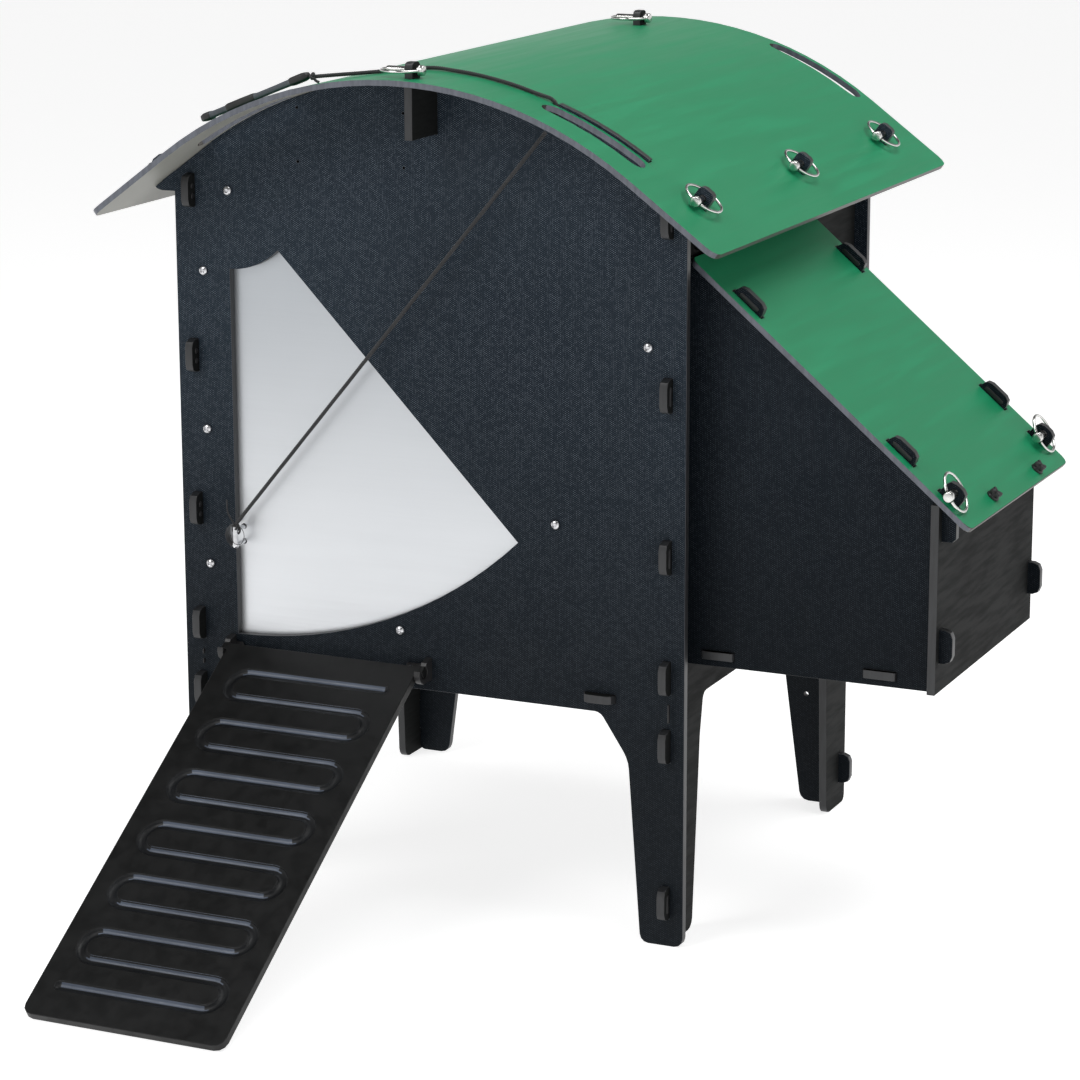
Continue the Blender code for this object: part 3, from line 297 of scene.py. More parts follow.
def green_face():
    """Green sheet: streaks of lighter haze along the sheet's grain, dusty patches and a fine grain."""
    made = Finish("green_face", (0.010, 0.225, 0.095), 0.42, Specular_IOR_Level=0.40)
    streaks = made.noise(1, 4, 0.6, made.stretched((90, 5, 12), math.radians(-32)))
    haze = made.noise(3.4, 3, 0.5)
    streaked = made.mix(made.between(streaks, 0.40, 0.75), (0.004, 0.212, 0.086), (0.009, 0.250, 0.108))
    dusty = made.between(haze, 0.42, 0.78, 0.0, 0.50)
    made.tint(dusty, streaked, (0.022, 0.245, 0.108))
    made.roughen(streaks, 0.3, 0.8, 0.38, 0.48)
    made.relief(made.noise(330, 3), 0.10, 0.0004)
    return made.material


def grey_underside():
    """The green sheet's inner layer, seen from below."""
    made = Finish("grey_underside", (0.30, 0.30, 0.27), 0.5)
    patches = made.between(made.noise(5, 4), 0.3, 0.7)
    made.tint(patches, (0.25, 0.25, 0.225), (0.33, 0.33, 0.30))
    made.relief(made.noise(300, 3), 0.12, 0.0004)
    return made.material


def satin_aluminium():
    """Rolled aluminium: fine rolling lines across the door, a soft cloudiness, and painted shade that
    darkens the door towards its top.
    """
    made = Finish("satin_aluminium", (0.74, 0.75, 0.77), 0.40, 0.82)
    lines = made.noise(1, 3, 0.6, made.stretched((7, 7, 900)))
    cloud = made.noise(4.5, 3)
    height = made.node("ShaderNodeSeparateXYZ", {0: made.place}).outputs[2]
    low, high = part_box("pop_door")
    # painted shade: the door's colour runs from light at its foot to dark at its top
    rise = made.between(height, low.z, high.z)
    tone = made.mix(rise, (0.71, 0.725, 0.745), (0.37, 0.395, 0.42))
    made.tint(made.between(cloud, 0.3, 0.8, 0.0, 0.20), tone, (0.60, 0.62, 0.65))
    made.roughen(lines, 0.3, 0.7, 0.34, 0.44)
    made.relief(lines, 0.05, 0.0002)
    return made.material


def bright_metal(name, colour, roughness, grain):
    """Plated or stainless steel with a faint unevenness."""
    made = Finish(name, colour, roughness, 1.0)
    cloud = made.noise(grain, 3)
    duller = tuple(c * 0.82 for c in colour)
    made.tint(made.between(cloud, 0.3, 0.7), duller, colour)
    made.roughen(cloud, 0.3, 0.7, roughness * 0.7, roughness * 1.4)
    made.relief(made.noise(grain * 4, 2), 0.05, 0.0002)
    return made.material


def cord_fibre():
    made = Finish("cord_fibre", (0.010, 0.010, 0.011), 0.75, Sheen_Weight=0.2, Sheen_Roughness=0.5)
    fibres = made.noise(1400, 2)
    made.tint(fibres, (0.006, 0.006, 0.007), (0.022, 0.022, 0.024))
    made.relief(fibres, 0.4, 0.0003)
    return made.material


def moulded_black(name, low, high, roughness, gloss=0.5):
    """Moulded black plastic or rubber with a fine spark texture."""
    made = Finish(name, high, roughness, Specular_IOR_Level=gloss)
    cloud = made.between(made.noise(14, 4), 0.3, 0.7)
    made.tint(cloud, low, high)
    made.roughen(made.noise(60, 3), 0.3, 0.7, roughness * 0.85, roughness * 1.15)
    made.relief(made.noise(900, 2), 0.18, 0.0003)
    return made.material


def planed_wood():
    """Softwood with its grain running across the house."""
    made = Finish("planed_wood", (0.50, 0.34, 0.19), 0.6)
    rings = made.noise(1, 5, 0.6, made.stretched((3.5, 95, 95)))
    made.tint(made.between(rings, 0.35, 0.65), (0.36, 0.22, 0.11), (0.58, 0.41, 0.24))
    made.relief(rings, 0.25, 0.0004)
    return made.material


FACE_XZ = embossed_black("embossed_black_front", 1.0, 0.11)
# the nest's sides: the embossed sheet at half brightness, painted shade for the shadow of the front wall
# and the lid
SHADED_XZ = embossed_black("embossed_black_nest_painted_shade", 0.5, 0.08)
SMOOTH = smooth_black()
# EDGE and SIDE_EDGE are one cut edge in a lighter and a darker copy; an edge takes one by the way it
# faces, as painted light and shade
EDGE = cut_edge("black_cut_edge", (0.060, 0.066, 0.078), 0.36)
SIDE_EDGE = cut_edge("black_cut_edge_painted_shade", (0.022, 0.023, 0.025), 0.40)
GREEN = green_face()
UNDERSIDE = grey_underside()
# GREEN_EDGE and GREEN_SIDE_EDGE are one cut edge, lighter for edges facing front or back and darker for
# the rest: painted light and shade by the way an edge faces
GREEN_EDGE = cut_edge("green_sheet_front_edge", (0.115, 0.125, 0.150), 0.42)
GREEN_SIDE_EDGE = cut_edge("green_sheet_side_edge_painted_shade", (0.045, 0.040, 0.036), 0.45)
ALUMINIUM = satin_aluminium()
ALUMINIUM_EDGE = cut_edge("aluminium_edge", (0.35, 0.36, 0.38), 0.35)
ZINC = bright_metal("bright_zinc", (0.72, 0.72, 0.70), 0.20, 160)
CHROME = bright_metal("chrome", (0.82, 0.83, 0.85), 0.10, 90)
STAINLESS = bright_metal("stainless", (0.70, 0.70, 0.72), 0.24, 220)
FIBRE = cord_fibre()
RAMP_BLACK = moulded_black("ramp_black", (0.002, 0.0022, 0.0022), (0.005, 0.0052, 0.0054), 0.45, 0.30)
GROOVE_BLACK = moulded_black("groove_black", (0.003, 0.0034, 0.0040), (0.007, 0.0080, 0.0095), 0.45, 0.30)
# a lighter, bluish copy of the moulded black: painted highlight on the groove's faces that look down the
# ramp
GROOVE_PAINTED_HIGHLIGHT = moulded_black("groove_painted_highlight", (0.050, 0.063, 0.090), (0.085, 0.105, 0.145), 0.35, 0.40)
FITTING = moulded_black("fitting_black", (0.008, 0.008, 0.009), (0.016, 0.016, 0.017), 0.45)
HANDLE_GREY = moulded_black("handle_grey", (0.045, 0.052, 0.064), (0.075, 0.085, 0.100), 0.40)
WOOD = planed_wood()


# making pieces


def piece(name, mesh, body, nodes, materials):
    """A new object for a mesh: it rides on a body, takes a slot's finish and stands for CAD nodes."""
    made = bpy.data.objects.new(name, mesh)
    bpy.context.scene.collection.objects.link(made)
    for material in materials:
        mesh.materials.append(material)
    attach(made, body)
    if nodes:
        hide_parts(*nodes)
    return made


def mesh_from(name, verts, faces):
    """A smooth mesh of points and faces, with its creases sharp."""
    mesh = bpy.data.meshes.new(name)
    mesh.from_pydata([tuple(v) for v in verts], [], faces)
    work = bmesh.new()
    work.from_mesh(mesh)
    bmesh.ops.recalc_face_normals(work, faces=work.faces)
    work.to_mesh(mesh)
    work.free()
    mesh.shade_smooth()
    mesh.set_sharp_from_angle(angle=MADE_CREASE)
    return mesh


def merged(parts):
    """Lists of vertices and faces joined into one."""
    verts, faces = [], []
    for part_verts, part_faces in parts:
        start = len(verts)
        verts += part_verts
        faces += [[start + i for i in face] for face in part_faces]
    return verts, faces


def ring_faces(rows, steps, closed=False):
    """The faces between rows of points round a path, with both ends filled unless the path is closed."""
    faces = []
    for i in range(rows if closed else rows - 1):
        n = (i + 1) % rows
        for k in range(steps):
            m = (k + 1) % steps
            faces.append([i * steps + k, i * steps + m, n * steps + m, n * steps + k])
    if not closed:
        faces.append(list(range(steps))[::-1])
        faces.append([(rows - 1) * steps + k for k in range(steps)])
    return faces


def weigh_normals(made):
    weighted = made.modifiers.new("flat_faces", "WEIGHTED_NORMAL")
    weighted.keep_sharp = True


def add_rounding(made, width, segments=2, angle=SHARP):
    rounding = made.modifiers.new("rounded_edges", "BEVEL")
    rounding.width = width
    rounding.segments = segments
    rounding.limit_method = "ANGLE"
    rounding.angle_limit = angle
    rounding.use_clamp_overlap = False
    rounding.harden_normals = True


def cad_copy(node, body, materials, choose=None):
    """A CAD node's shape, with a material chosen for each face if there are several."""
    mesh = NODES[node].data.copy()
    mesh.materials.clear()
    work = bmesh.new()
    work.from_mesh(mesh)
    bmesh.ops.remove_doubles(work, verts=work.verts, dist=MERGE)
    for face in work.faces:
        face.smooth = True
        face.material_index = choose(face.normal) if choose else 0
    work.to_mesh(mesh)
    work.free()
    if "custom_normal" in mesh.attributes:
        mesh.attributes.remove(mesh.attributes["custom_normal"])
    return piece(f"{node}_finish", mesh, body, [node], materials)


def rounded_copy(node, body, material, width, segments=2):
    add_rounding(cad_copy(node, body, [material]), width, segments)


def outline_loops(mesh, across):
    """The closed runs of corners round the faces that look along a direction, the sheet on their left."""
    work = bmesh.new()
    work.from_mesh(mesh)
    bmesh.ops.remove_doubles(work, verts=work.verts, dist=MERGE)
    follows, flat = {}, 0.99
    for face in work.faces:
        if face.normal.dot(across) > flat:
            for corner in face.loops:
                if corner.link_loop_radial_next.face.normal.dot(across) < flat:
                    follows[corner.vert] = corner.link_loop_next.vert
    loops = []
    while follows:
        at, run = next(iter(follows)), []
        while at in follows:
            run.append(at.co.copy())
            at = follows.pop(at)
        loops.append(run)
    work.free()
    return loops


def inset(loop, distance):
    """A loop of flat points moved towards its left, with its corners kept."""
    moved = []
    for i, here in enumerate(loop):
        before = (here - loop[i - 1]).normalized()
        after = (loop[(i + 1) % len(loop)] - here).normalized()
        left, other = Vector((-before.y, before.x)), Vector((-after.y, after.x))
        moved.append(here + (left + other) * distance / max(1 + left.dot(other), 0.4))
    return moved


def rounded_sheet(node, body, materials, choose, width=EDGE_ROUND):
    """A CAD sheet rebuilt from its outline, with a quarter round along every edge of its two faces."""
    source = NODES[node].data
    across = max(source.polygons, key=lambda face: face.area).normal.copy()
    side = across.orthogonal().normalized()
    turn = Matrix((side, across.cross(side), across))
    heights = [v.co.dot(across) for v in source.vertices]
    low, high = min(heights), max(heights)
    loops = [[(turn @ co).to_2d() for co in loop] for loop in outline_loops(source, across)]
    angles = [math.radians(30 * k) for k in range(4)]
    quarter = [(width * (1 - math.cos(a)), width * (1 - math.sin(a))) for a in angles]
    rings = [(move, low + drop) for move, drop in reversed(quarter)]
    rings += [(move, high - drop) for move, drop in quarter]
    verts, faces, starts = [], [], []
    for loop in loops:
        starts.append(len(verts))
        for move, height in rings:
            verts += [(p.x, p.y, height) for p in inset(loop, move)]
        count = len(loop)
        for ring in range(len(rings) - 1):
            first = starts[-1] + ring * count
            for i in range(count):
                j = (i + 1) % count
                faces.append([first + i, first + j, first + count + j, first + count + i])
    for ring, sign in ((0, -1), (len(rings) - 1, 1)):
        index, outlines = [], []
        for loop, start in zip(loops, starts):
            here = range(start + ring * len(loop), start + (ring + 1) * len(loop))
            index += here
            outlines.append([Vector((*verts[i][:2], 0)) for i in here])
        for triangle in tessellate_polygon(outlines):
            a, b, c = (Vector(verts[index[i]]) for i in triangle)
            turned_up = (b - a).cross(c - a).z * sign > 0
            faces.append([index[i] for i in (triangle if turned_up else reversed(triangle))])
    mesh = bpy.data.meshes.new(f"{node}_sheet")
    back = turn.transposed()
    mesh.from_pydata([back @ Vector(v) for v in verts], [], faces)
    made = piece(f"{node}_finish", mesh, body, [node], materials)
    for face in mesh.polygons:
        face.material_index = choose(face.normal)
    mesh.shade_smooth()
    mesh.set_sharp_from_angle(angle=SHEET_CREASE)
    weigh_normals(made)


def slope(node, level):
    """A board's upper normal and its direction up the slope, and how far its face and its foot lie."""
    mesh = NODES[node].data
    face = max(mesh.polygons, key=lambda face: face.area * (face.normal.z > 0.5))
    normal = face.normal.copy()
    up = normal.cross(level).normalized()
    top = max(v.co.dot(normal) for v in mesh.vertices)
    foot = min(v.co.dot(up) for v in mesh.vertices)
    return normal, up, top, foot


def thin_axis(node):
    """The axis across a sheet: the shortest side of its box."""
    low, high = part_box(node)
    sides = high - low
    return min(range(3), key=lambda i: sides[i])


def path_frames(points, closed=False):
    """Each point with two directions across the path, carried along it without twisting."""
    count = len(points)
    tangents = []
    for i in range(count):
        before = points[i - 1] if closed or i else points[i]
        after = points[(i + 1) % count] if closed or i < count - 1 else points[i]
        tangents.append((after - before).normalized())
    side = tangents[0].orthogonal().normalized()
    frames = []
    for i, tangent in enumerate(tangents):
        if i:
            side = tangents[i - 1].rotation_difference(tangent) @ side
        side = (side - tangent * side.dot(tangent)).normalized()
        frames.append((points[i], side, tangent.cross(side)))
    return frames


def sweep(points, radius, sides, closed=False):
    """A round tube along points. The radius is one number or one for each point."""
    radii = radius if isinstance(radius, list) else [radius] * len(points)
    verts = []
    for (place, side, other), size in zip(path_frames(points, closed), radii):
        for k in range(sides):
            a = 2 * math.pi * k / sides
            verts.append(place + (side * math.cos(a) + other * math.sin(a)) * size)
    return verts, ring_faces(len(points), sides, closed)


def evenly(points, step):
    """Points at an even step along a smooth curve through the given points."""
    dense = []
    for i in range(len(points) - 1):
        p0, p1 = points[max(i - 1, 0)], points[i]
        p2, p3 = points[i + 1], points[min(i + 2, len(points) - 1)]
        pieces = 24
        for k in range(pieces):
            t = k / pieces
            dense.append(
                0.5
                * (
                    2 * p1
                    + (p2 - p0) * t
                    + (2 * p0 - 5 * p1 + 4 * p2 - p3) * t * t
                    + (3 * p1 - p0 - 3 * p2 + p3) * t * t * t
                )
            )
    dense.append(points[-1])
    spaced, left = [dense[0]], step
    for first, second in zip(dense, dense[1:]):
        length = (second - first).length
        while length >= left:
            first = first.lerp(second, left / length)
            spaced.append(first)
            length = (second - first).length
            left = step
        left -= length
    return spaced


def rope(points, radius):
    """A laid cord: strands that wind about the path."""
    frames = path_frames(evenly(points, ROPE_STEP))
    core, strand = radius * 0.50, radius * 0.56
    parts = []
    for s in range(ROPE_STRANDS):
        wound = []
        for i, (place, side, other) in enumerate(frames):
            a = 2 * math.pi * (i * ROPE_STEP / ROPE_LAY + s / ROPE_STRANDS)
            wound.append(place + (side * math.cos(a) + other * math.sin(a)) * core)
        parts.append(sweep(wound, strand, STRAND_SIDES))
    return merged(parts)


def turned(profile, place, axis, steps):
    """A profile of (radius, height) spun about an axis. A third value of 1 makes that ring a hexagon."""
    axis = Vector(axis).normalized()
    side = axis.orthogonal().normalized()
    other = axis.cross(side)
    verts, faces, rings = [], [], []
    for entry in profile:
        radius, height = entry[:2]
        centre = Vector(place) + axis * height
        if radius == 0:
            rings.append([len(verts)] * steps)
            verts.append(centre)
            continue
        ring = []
        for k in range(steps):
            a = 2 * math.pi * k / steps
            reach = radius
            if len(entry) > 2:
                sixth = math.pi / 3
                reach = radius * math.cos(sixth / 2) / math.cos(a % sixth - sixth / 2)
            ring.append(len(verts))
            verts.append(centre + (side * math.cos(a) + other * math.sin(a)) * reach)
        rings.append(ring)
    for low, high in zip(rings, rings[1:]):
        for k in range(steps):
            m = (k + 1) % steps
            face = [low[k], low[m], high[m], high[k]]
            face = [v for i, v in enumerate(face) if v not in face[:i]]
            if len(face) > 2:
                faces.append(face)
    return verts, faces


# panels


def sheet_choice(node):
    """Picks a sheet's materials: 0 embossed, 1 plain, 2 edges to front or back, 3 other edges."""
    across = thin_axis(node)

    def choose(normal):
        if abs(normal[across]) > 0.9:
            return 0 if across == 1 else 1
        return 2 if abs(normal.y) > FLAT else 3

    return choose


def make_black_sheets():
    embossed = ("front_wall", "back_wall", "rear_leg_frame", "centre_rib")
    # the nest's sides take the darker copy of the embossed sheet: painted shade
    shaded = ("nest_side_front", "nest_side_back")
    plain = ("left_wall", "right_wall", "floor_panel", "ridge_beam", "nest_end", "nest_floor")
    for node in (*embossed, *shaded, *plain):
        face = SHADED_XZ if node in shaded else FACE_XZ
        # painted light and shade: edges of the embossed sheets that face front or back take the lighter
        # copy, and every other edge takes the darker one
        front_edge = EDGE if node in embossed else SIDE_EDGE
        materials = [face, SMOOTH, front_edge, SIDE_EDGE]
        rounded_sheet(node, "house", materials, sheet_choice(node))
    for node in ("door_edge_guide", "door_arc_spacer", "door_arc_retainer"):
        rounded_copy(node, "house", SMOOTH, GUIDE_ROUND)


def make_green_sheets():
    def choose(normal):
        if abs(normal.z) > FLAT:
            return 0 if normal.z > 0 else 1
        return 2 if abs(normal.y) > FLAT else 3

    materials = [GREEN, UNDERSIDE, GREEN_EDGE, GREEN_SIDE_EDGE]
    roof = cad_copy("roof_sheet", "house", materials, choose)
    roof.data.set_sharp_from_angle(angle=SHARP)
    weigh_normals(roof)
    rounded_sheet("nest_lid", "lid", materials, choose, LID_ROUND)


def make_door():
    def choose(normal):
        return 0 if abs(normal.y) > 0.9 else 1

    rounded_sheet("pop_door", "door", [ALUMINIUM, ALUMINIUM_EDGE], choose, DOOR_ROUND)


def make_fittings():
    for node in ("ramp_bracket_left", "ramp_bracket_right"):
        rounded_copy(node, "house", FITTING, BRACKET_ROUND)
    for node in ("lid_hook_front", "lid_hook_back"):
        rounded_copy(node, "house", FITTING, HOOK_ROUND, 3)
    for node in ("perch_front", "perch_back"):
        rounded_copy(node, "house", WOOD, PERCH_ROUND, 3)


# ramp


def groove_path():
    """The groove's middle line on the ramp's upper face: bars across, with half turns between them."""
    normal, up, top, foot = slope("ramp", X)
    low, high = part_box("ramp")
    middle, half = (low.x + high.x) / 2, (high.x - low.x) / 2 - RAMP_EAR
    turn = GROOVE_PITCH / 2
    end = half - GROOVE_SIDE_MARGIN - GROOVE_WIDTH / 2
    straight = end - turn
    last = foot + GROOVE_END_MARGIN
    flat = []
    for bar in range(GROOVE_COUNT):
        height = last + (GROOVE_COUNT - 1 - bar) * GROOVE_PITCH
        side = 1 if bar % 2 == 0 else -1
        start = end if bar == 0 else straight
        stop = end if bar == GROOVE_COUNT - 1 else straight
        for k in range(GROOVE_STEPS + 1):
            flat.append((side * (start - (start + stop) * k / GROOVE_STEPS), height))
        if bar < GROOVE_COUNT - 1:
            for k in range(1, GROOVE_STEPS):
                a = math.pi * k / GROOVE_STEPS
                flat.append((-side * (straight + turn * math.sin(a)), height - turn * (1 - math.cos(a))))
    return [X * (middle + x) + up * y + normal * top for x, y in flat], normal, up


def make_ramp():
    """The ramp's board with a round-bottomed groove cut into its upper face. The groove's faces that look
    down the ramp get a lighter material, a painted highlight.
    """
    middle_line, normal, up = groove_path()
    half = GROOVE_WIDTH / 2
    radius = (half * half + GROOVE_DEPTH * GROOVE_DEPTH) / (2 * GROOVE_DEPTH)
    lifted = [p + normal * (radius - GROOVE_DEPTH) for p in middle_line]
    lead = (lifted[0] - lifted[1]).normalized()
    trail = (lifted[-1] - lifted[-2]).normalized()
    turns = [math.radians(15 * k) for k in (6, 5, 4, 3, 2, 1)]
    ends = [(radius * math.sin(a), max(radius * math.cos(a), GROOVE_TIP)) for a in turns]
    first = [lifted[0] + lead * out for out, _ in ends]
    last = [lifted[-1] + trail * out for out, _ in reversed(ends)]
    cap = [r for _, r in ends]
    radii = [*cap, *([radius] * len(lifted)), *reversed(cap)]
    tube = sweep([*first, *lifted, *last], radii, GROOVE_SIDES)
    cutter = bpy.data.objects.new("groove_cutter", mesh_from("groove_cutter", *tube))
    cutter.data.materials.append(GROOVE_BLACK)
    bpy.context.scene.collection.objects.link(cutter)
    board = cad_copy("ramp", "ramp", [RAMP_BLACK])
    cut = board.modifiers.new("groove", "BOOLEAN")
    cut.operation = "DIFFERENCE"
    cut.object = cutter
    cut.material_mode = "TRANSFER"
    add_rounding(board, EDGE_ROUND, angle=GROOVE_CREASE)
    bpy.context.view_layer.update()
    graph = bpy.context.evaluated_depsgraph_get()
    shaped = board.evaluated_get(graph)
    final = bpy.data.meshes.new_from_object(shaped, preserve_all_data_layers=True, depsgraph=graph)
    board.modifiers.clear()
    board.data = final
    final.materials.append(GROOVE_PAINTED_HIGHLIGHT)
    # painted highlight: the groove's faces that look down the ramp and run across it
    for face in final.polygons:
        painted_highlight = HIGHLIGHT_DIP[0] < face.normal.dot(up) < HIGHLIGHT_DIP[1] and abs(face.normal.x) < HIGHLIGHT_TURN
        if painted_highlight and face.material_index == 1:
            face.material_index = 2
    bpy.data.objects.remove(cutter, do_unlink=True)


# fasteners


def button_head():
    """The outline of a button head from its rim to its hexagon socket's pointed bottom."""
    rim, socket = SCREW_HEAD, SCREW_HEAD * 0.46
    outline = [(SCREW_SHANK, -0.0001), (rim * 0.94, -0.0001), (rim, 0.0004)]
    outline += [(rim * math.cos(a), 0.0014 + 0.0028 * math.sin(a)) for a in (0, 0.3, 0.6, 0.85, 1.05)]
    return [*outline, (socket * 1.12, 0.0041, 1), (socket, 0.0039, 1), (socket, 0.0019, 1), (0, 0.0013)]


def make_bolt(node, place, profile):
    mesh = mesh_from(node, *turned([*profile, *button_head()], place, -Y, SCREW_STEPS))
    piece(f"{node}_finish", mesh, "house", [node], [STAINLESS])


def seat_of(node, y):
    """The middle of a screw, seen from the front, at a depth."""
    low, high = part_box(node)
    return Vector(((low.x + high.x) / 2, y, (low.z + high.z) / 2))


def make_screw(node, seat, shank):
    """A button head screw with a rolled thread."""
    thread = []
    for i in range(int(shank / THREAD_PITCH)):
        thread.append((SCREW_SHANK * THREAD_CORE, -shank + i * THREAD_PITCH))
        thread.append((SCREW_SHANK, -shank + (i + 0.5) * THREAD_PITCH))
    make_bolt(node, seat_of(node, seat), [(0, -shank), *thread])


def make_screws():
    for number in range(1, 7):
        node = f"guide_screw_{number}"
        make_screw(node, FRONT_Y - SEAT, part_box(node)[1].y - FRONT_Y)
    for side in ("left", "right"):
        node = f"ramp_screw_{side}"
        low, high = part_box(node)
        seat = low.y + RAMP_SCREW_SEAT
        make_screw(node, seat, high.y - seat)


def make_pivot_bolt():
    """The door's bolt: a button head outside and a hexagon nut behind the door."""
    node, nut = "door_pivot_bolt", NUT_RADIUS
    place = seat_of(node, FRONT_Y - SEAT)
    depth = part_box(node)[1].y - place.y
    profile = [(0, -depth), (nut * 0.5, -depth), (nut * 0.94, -depth + 0.0006, 1)]
    profile += [(nut, -depth + 0.0012, 1), (nut, -NUT_START, 1), (SCREW_SHANK, -NUT_START)]
    make_bolt(node, place, profile)


def make_linch_pin(name):
    """A pin with a barrel head, and the sprung ring whose ends turn in the head."""
    joint = JOINTS[f"{name}_ring_flip"]
    head, axis = Vector(joint["pos_m"]), Vector(joint["axis"]).normalized()
    low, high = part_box(f"{name}_ring")
    along = (low + high) / 2 - head
    along = (along - axis * along.dot(axis)).normalized()
    spread = [v.co.dot(axis) for v in NODES[f"{name}_ring"].data.vertices]
    radius = (max(spread) - min(spread)) / 2 - RING_WIRE
    centre = head + along * radius
    length, half = 2 * radius - RING_WIRE - PIN_SHORT, PIN_HEAD_LENGTH / 2
    barrel, shank = PIN_HEAD, PIN_RADIUS
    profile = [(0, -half), (barrel * 0.78, -half), (barrel * 0.94, -half + 0.0005)]
    profile += [(barrel, -half + 0.0013), (barrel, -0.0004), (barrel * 0.93, 0), (barrel, 0.0004)]
    profile.append((barrel, half - 0.0013))
    profile += [(barrel * 0.94, half - 0.0005), (barrel * 0.82, half), (shank * 1.04, half + 0.0001)]
    profile += [(shank, half + 0.0006), (shank, length - 0.0034), (shank * 0.94, length - 0.0024)]
    profile += [(shank * 0.72, length - 0.0010), (shank * 0.42, length - 0.0002), (0, length)]
    pin = mesh_from(f"{name}_pin", *turned(profile, head, along, SCREW_STEPS))
    piece(f"{name}_pin_finish", pin, "house", [f"{name}_pin"], [ZINC])
    opening = math.asin((PIN_HEAD + RING_WIRE * 0.35) / radius)
    points = []
    for i in range(RING_STEPS + 1):
        a = math.pi + opening + (2 * math.pi - 2 * opening) * i / RING_STEPS
        points.append(centre + (along * math.cos(a) + axis * math.sin(a)) * radius)
    ring = mesh_from(f"{name}_ring", *sweep(points, RING_WIRE, RING_SIDES))
    piece(f"{name}_ring_finish", ring, f"ring_{name}", [f"{name}_ring"], [ZINC])


def make_linch_pins():
    for joint in JOINTS:
        if joint.endswith("_ring_flip"):
            make_linch_pin(joint.removesuffix("_ring_flip"))


def make_shackle():
    """A bow through the door, and its pin with a ball head."""
    low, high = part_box("door_shackle")
    middle = (low + high) / 2
    half = (high.z - low.z) / 2 - SHACKLE_WIRE
    front, back = low.y + 0.0002, high.y - SHACKLE_WIRE
    bend = back - half
    points = [Vector((middle.x, front + (bend - front) * k / 6, middle.z + half)) for k in range(6)]
    for k in range(25):
        a = math.pi / 2 - math.pi * k / 24
        points.append(Vector((middle.x, bend + half * math.cos(a), middle.z + half * math.sin(a))))
    points += [Vector((middle.x, bend + (front - bend) * k / 6, middle.z - half)) for k in range(1, 7)]
    bow = mesh_from("door_shackle", *sweep(points, SHACKLE_WIRE, 18))
    piece("door_shackle_finish", bow, "door", ["door_shackle"], [CHROME])
    low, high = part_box("shackle_pin")
    place = (low + high) / 2
    top = (high.z - low.z) / 2
    radius = (high.x - low.x) / 2
    ball = [(radius * math.sin(a), -top + radius * (1 - math.cos(a))) for a in (0.5, 0.9, 1.3, 1.7, 2.1)]
    profile = [(0, -top), *ball, (radius * 0.72, top - 0.0012), (radius * 0.62, top - 0.0003), (0, top)]
    pin = mesh_from("shackle_pin", *turned(profile, place, Z, 28))
    piece("shackle_pin_finish", pin, "door", ["shackle_pin"], [CHROME])


# catches and studs on the tabs and the lid


def tab_heights(wall):
    """The middle heights of the tabs that pass through the front wall, from their vertices."""
    beyond = FRONT_Y - TAB_REACH
    groups = []
    for height in sorted({round(v.co.z, 4) for v in NODES[wall].data.vertices if v.co.y < beyond}):
        if groups and height - groups[-1][-1] < TAB_SPREAD:
            groups[-1].append(height)
        else:
            groups.append([height])
    return [(group[0] + group[-1]) / 2 for group in groups]


def bar_catch(place, along, out, across, half_long, half_wide, height):
    """A low bar with round ends and a domed top, as one closed shell."""
    steps, rows = 24, ((1.0, -0.0002), (1.0, height * 0.45), (0.86, height * 0.85), (0.62, height))
    verts = []
    for share, rise in rows:
        for k in range(steps):
            a = 2 * math.pi * k / steps
            reach = half_long - half_wide if math.cos(a) > 0 else half_wide - half_long
            u = reach + half_wide * share * math.cos(a)
            v = half_wide * share * math.sin(a)
            verts.append(place + along * u + across * v + out * rise)
    return verts, ring_faces(len(rows), steps)


def make_tab_catches():
    """Bars on the front tabs' sides at the right corner, and pairs of studs at the left one."""
    for name in ("left", "right"):
        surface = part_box(f"{name}_wall")[1].x
        parts = []
        for z in tab_heights(f"{name}_wall"):
            if name == "right":
                place = Vector((surface, FRONT_Y - TAB_BAR_OUT, z))
                parts.append(bar_catch(place, Z, X, Y, *TAB_BAR))
            else:
                for shift in (-TAB_STUD_SHIFT, TAB_STUD_SHIFT):
                    place = Vector((surface, FRONT_Y - TAB_STUD_OUT, z + shift))
                    parts.append(bar_catch(place, Z, X, Y, *TAB_STUD))
        mesh = mesh_from(f"{name}_tab_catches", *merged(parts))
        piece(f"{name}_tab_catches", mesh, "house", [], [FITTING])


def lid_place(distance, y, height):
    """A point by its distance up the lid from the lower edge, its Y, and its height over the lid."""
    normal, up, top, foot = slope("nest_lid", Y)
    return up * (foot + distance) + normal * (top + height) + Y * y


def make_lid_catches():
    """Long bars at the foot of the wide tabs that pass through the lid."""
    normal, up = slope("nest_lid", Y)[:2]
    parts = []
    for node in ("nest_side_front", "nest_side_back"):
        low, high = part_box(node)
        for distance in LID_BAR_PLACES:
            place = lid_place(distance, low.y, LID_BAR_LIFT)
            parts.append(bar_catch(place, up, -Y, normal, *LID_BAR))
    mesh = mesh_from("lid_tab_catches", *merged(parts))
    piece("lid_tab_catches", mesh, "house", [], [FITTING])


def stud_parts(place, normal, up):
    """A round boss with a tapered head and two bars crossed over it."""
    parts = [turned([*STUD_BOSS, *STUD_TOP], place, normal, 32)]
    across = normal.cross(up).normalized()
    for direction in (up + across, up - across):
        direction = direction.normalized()
        side = normal.cross(direction)
        parts.append(bar_catch(place + normal * STUD_BAR_LIFT, direction, normal, side, *STUD_BAR))
    return parts


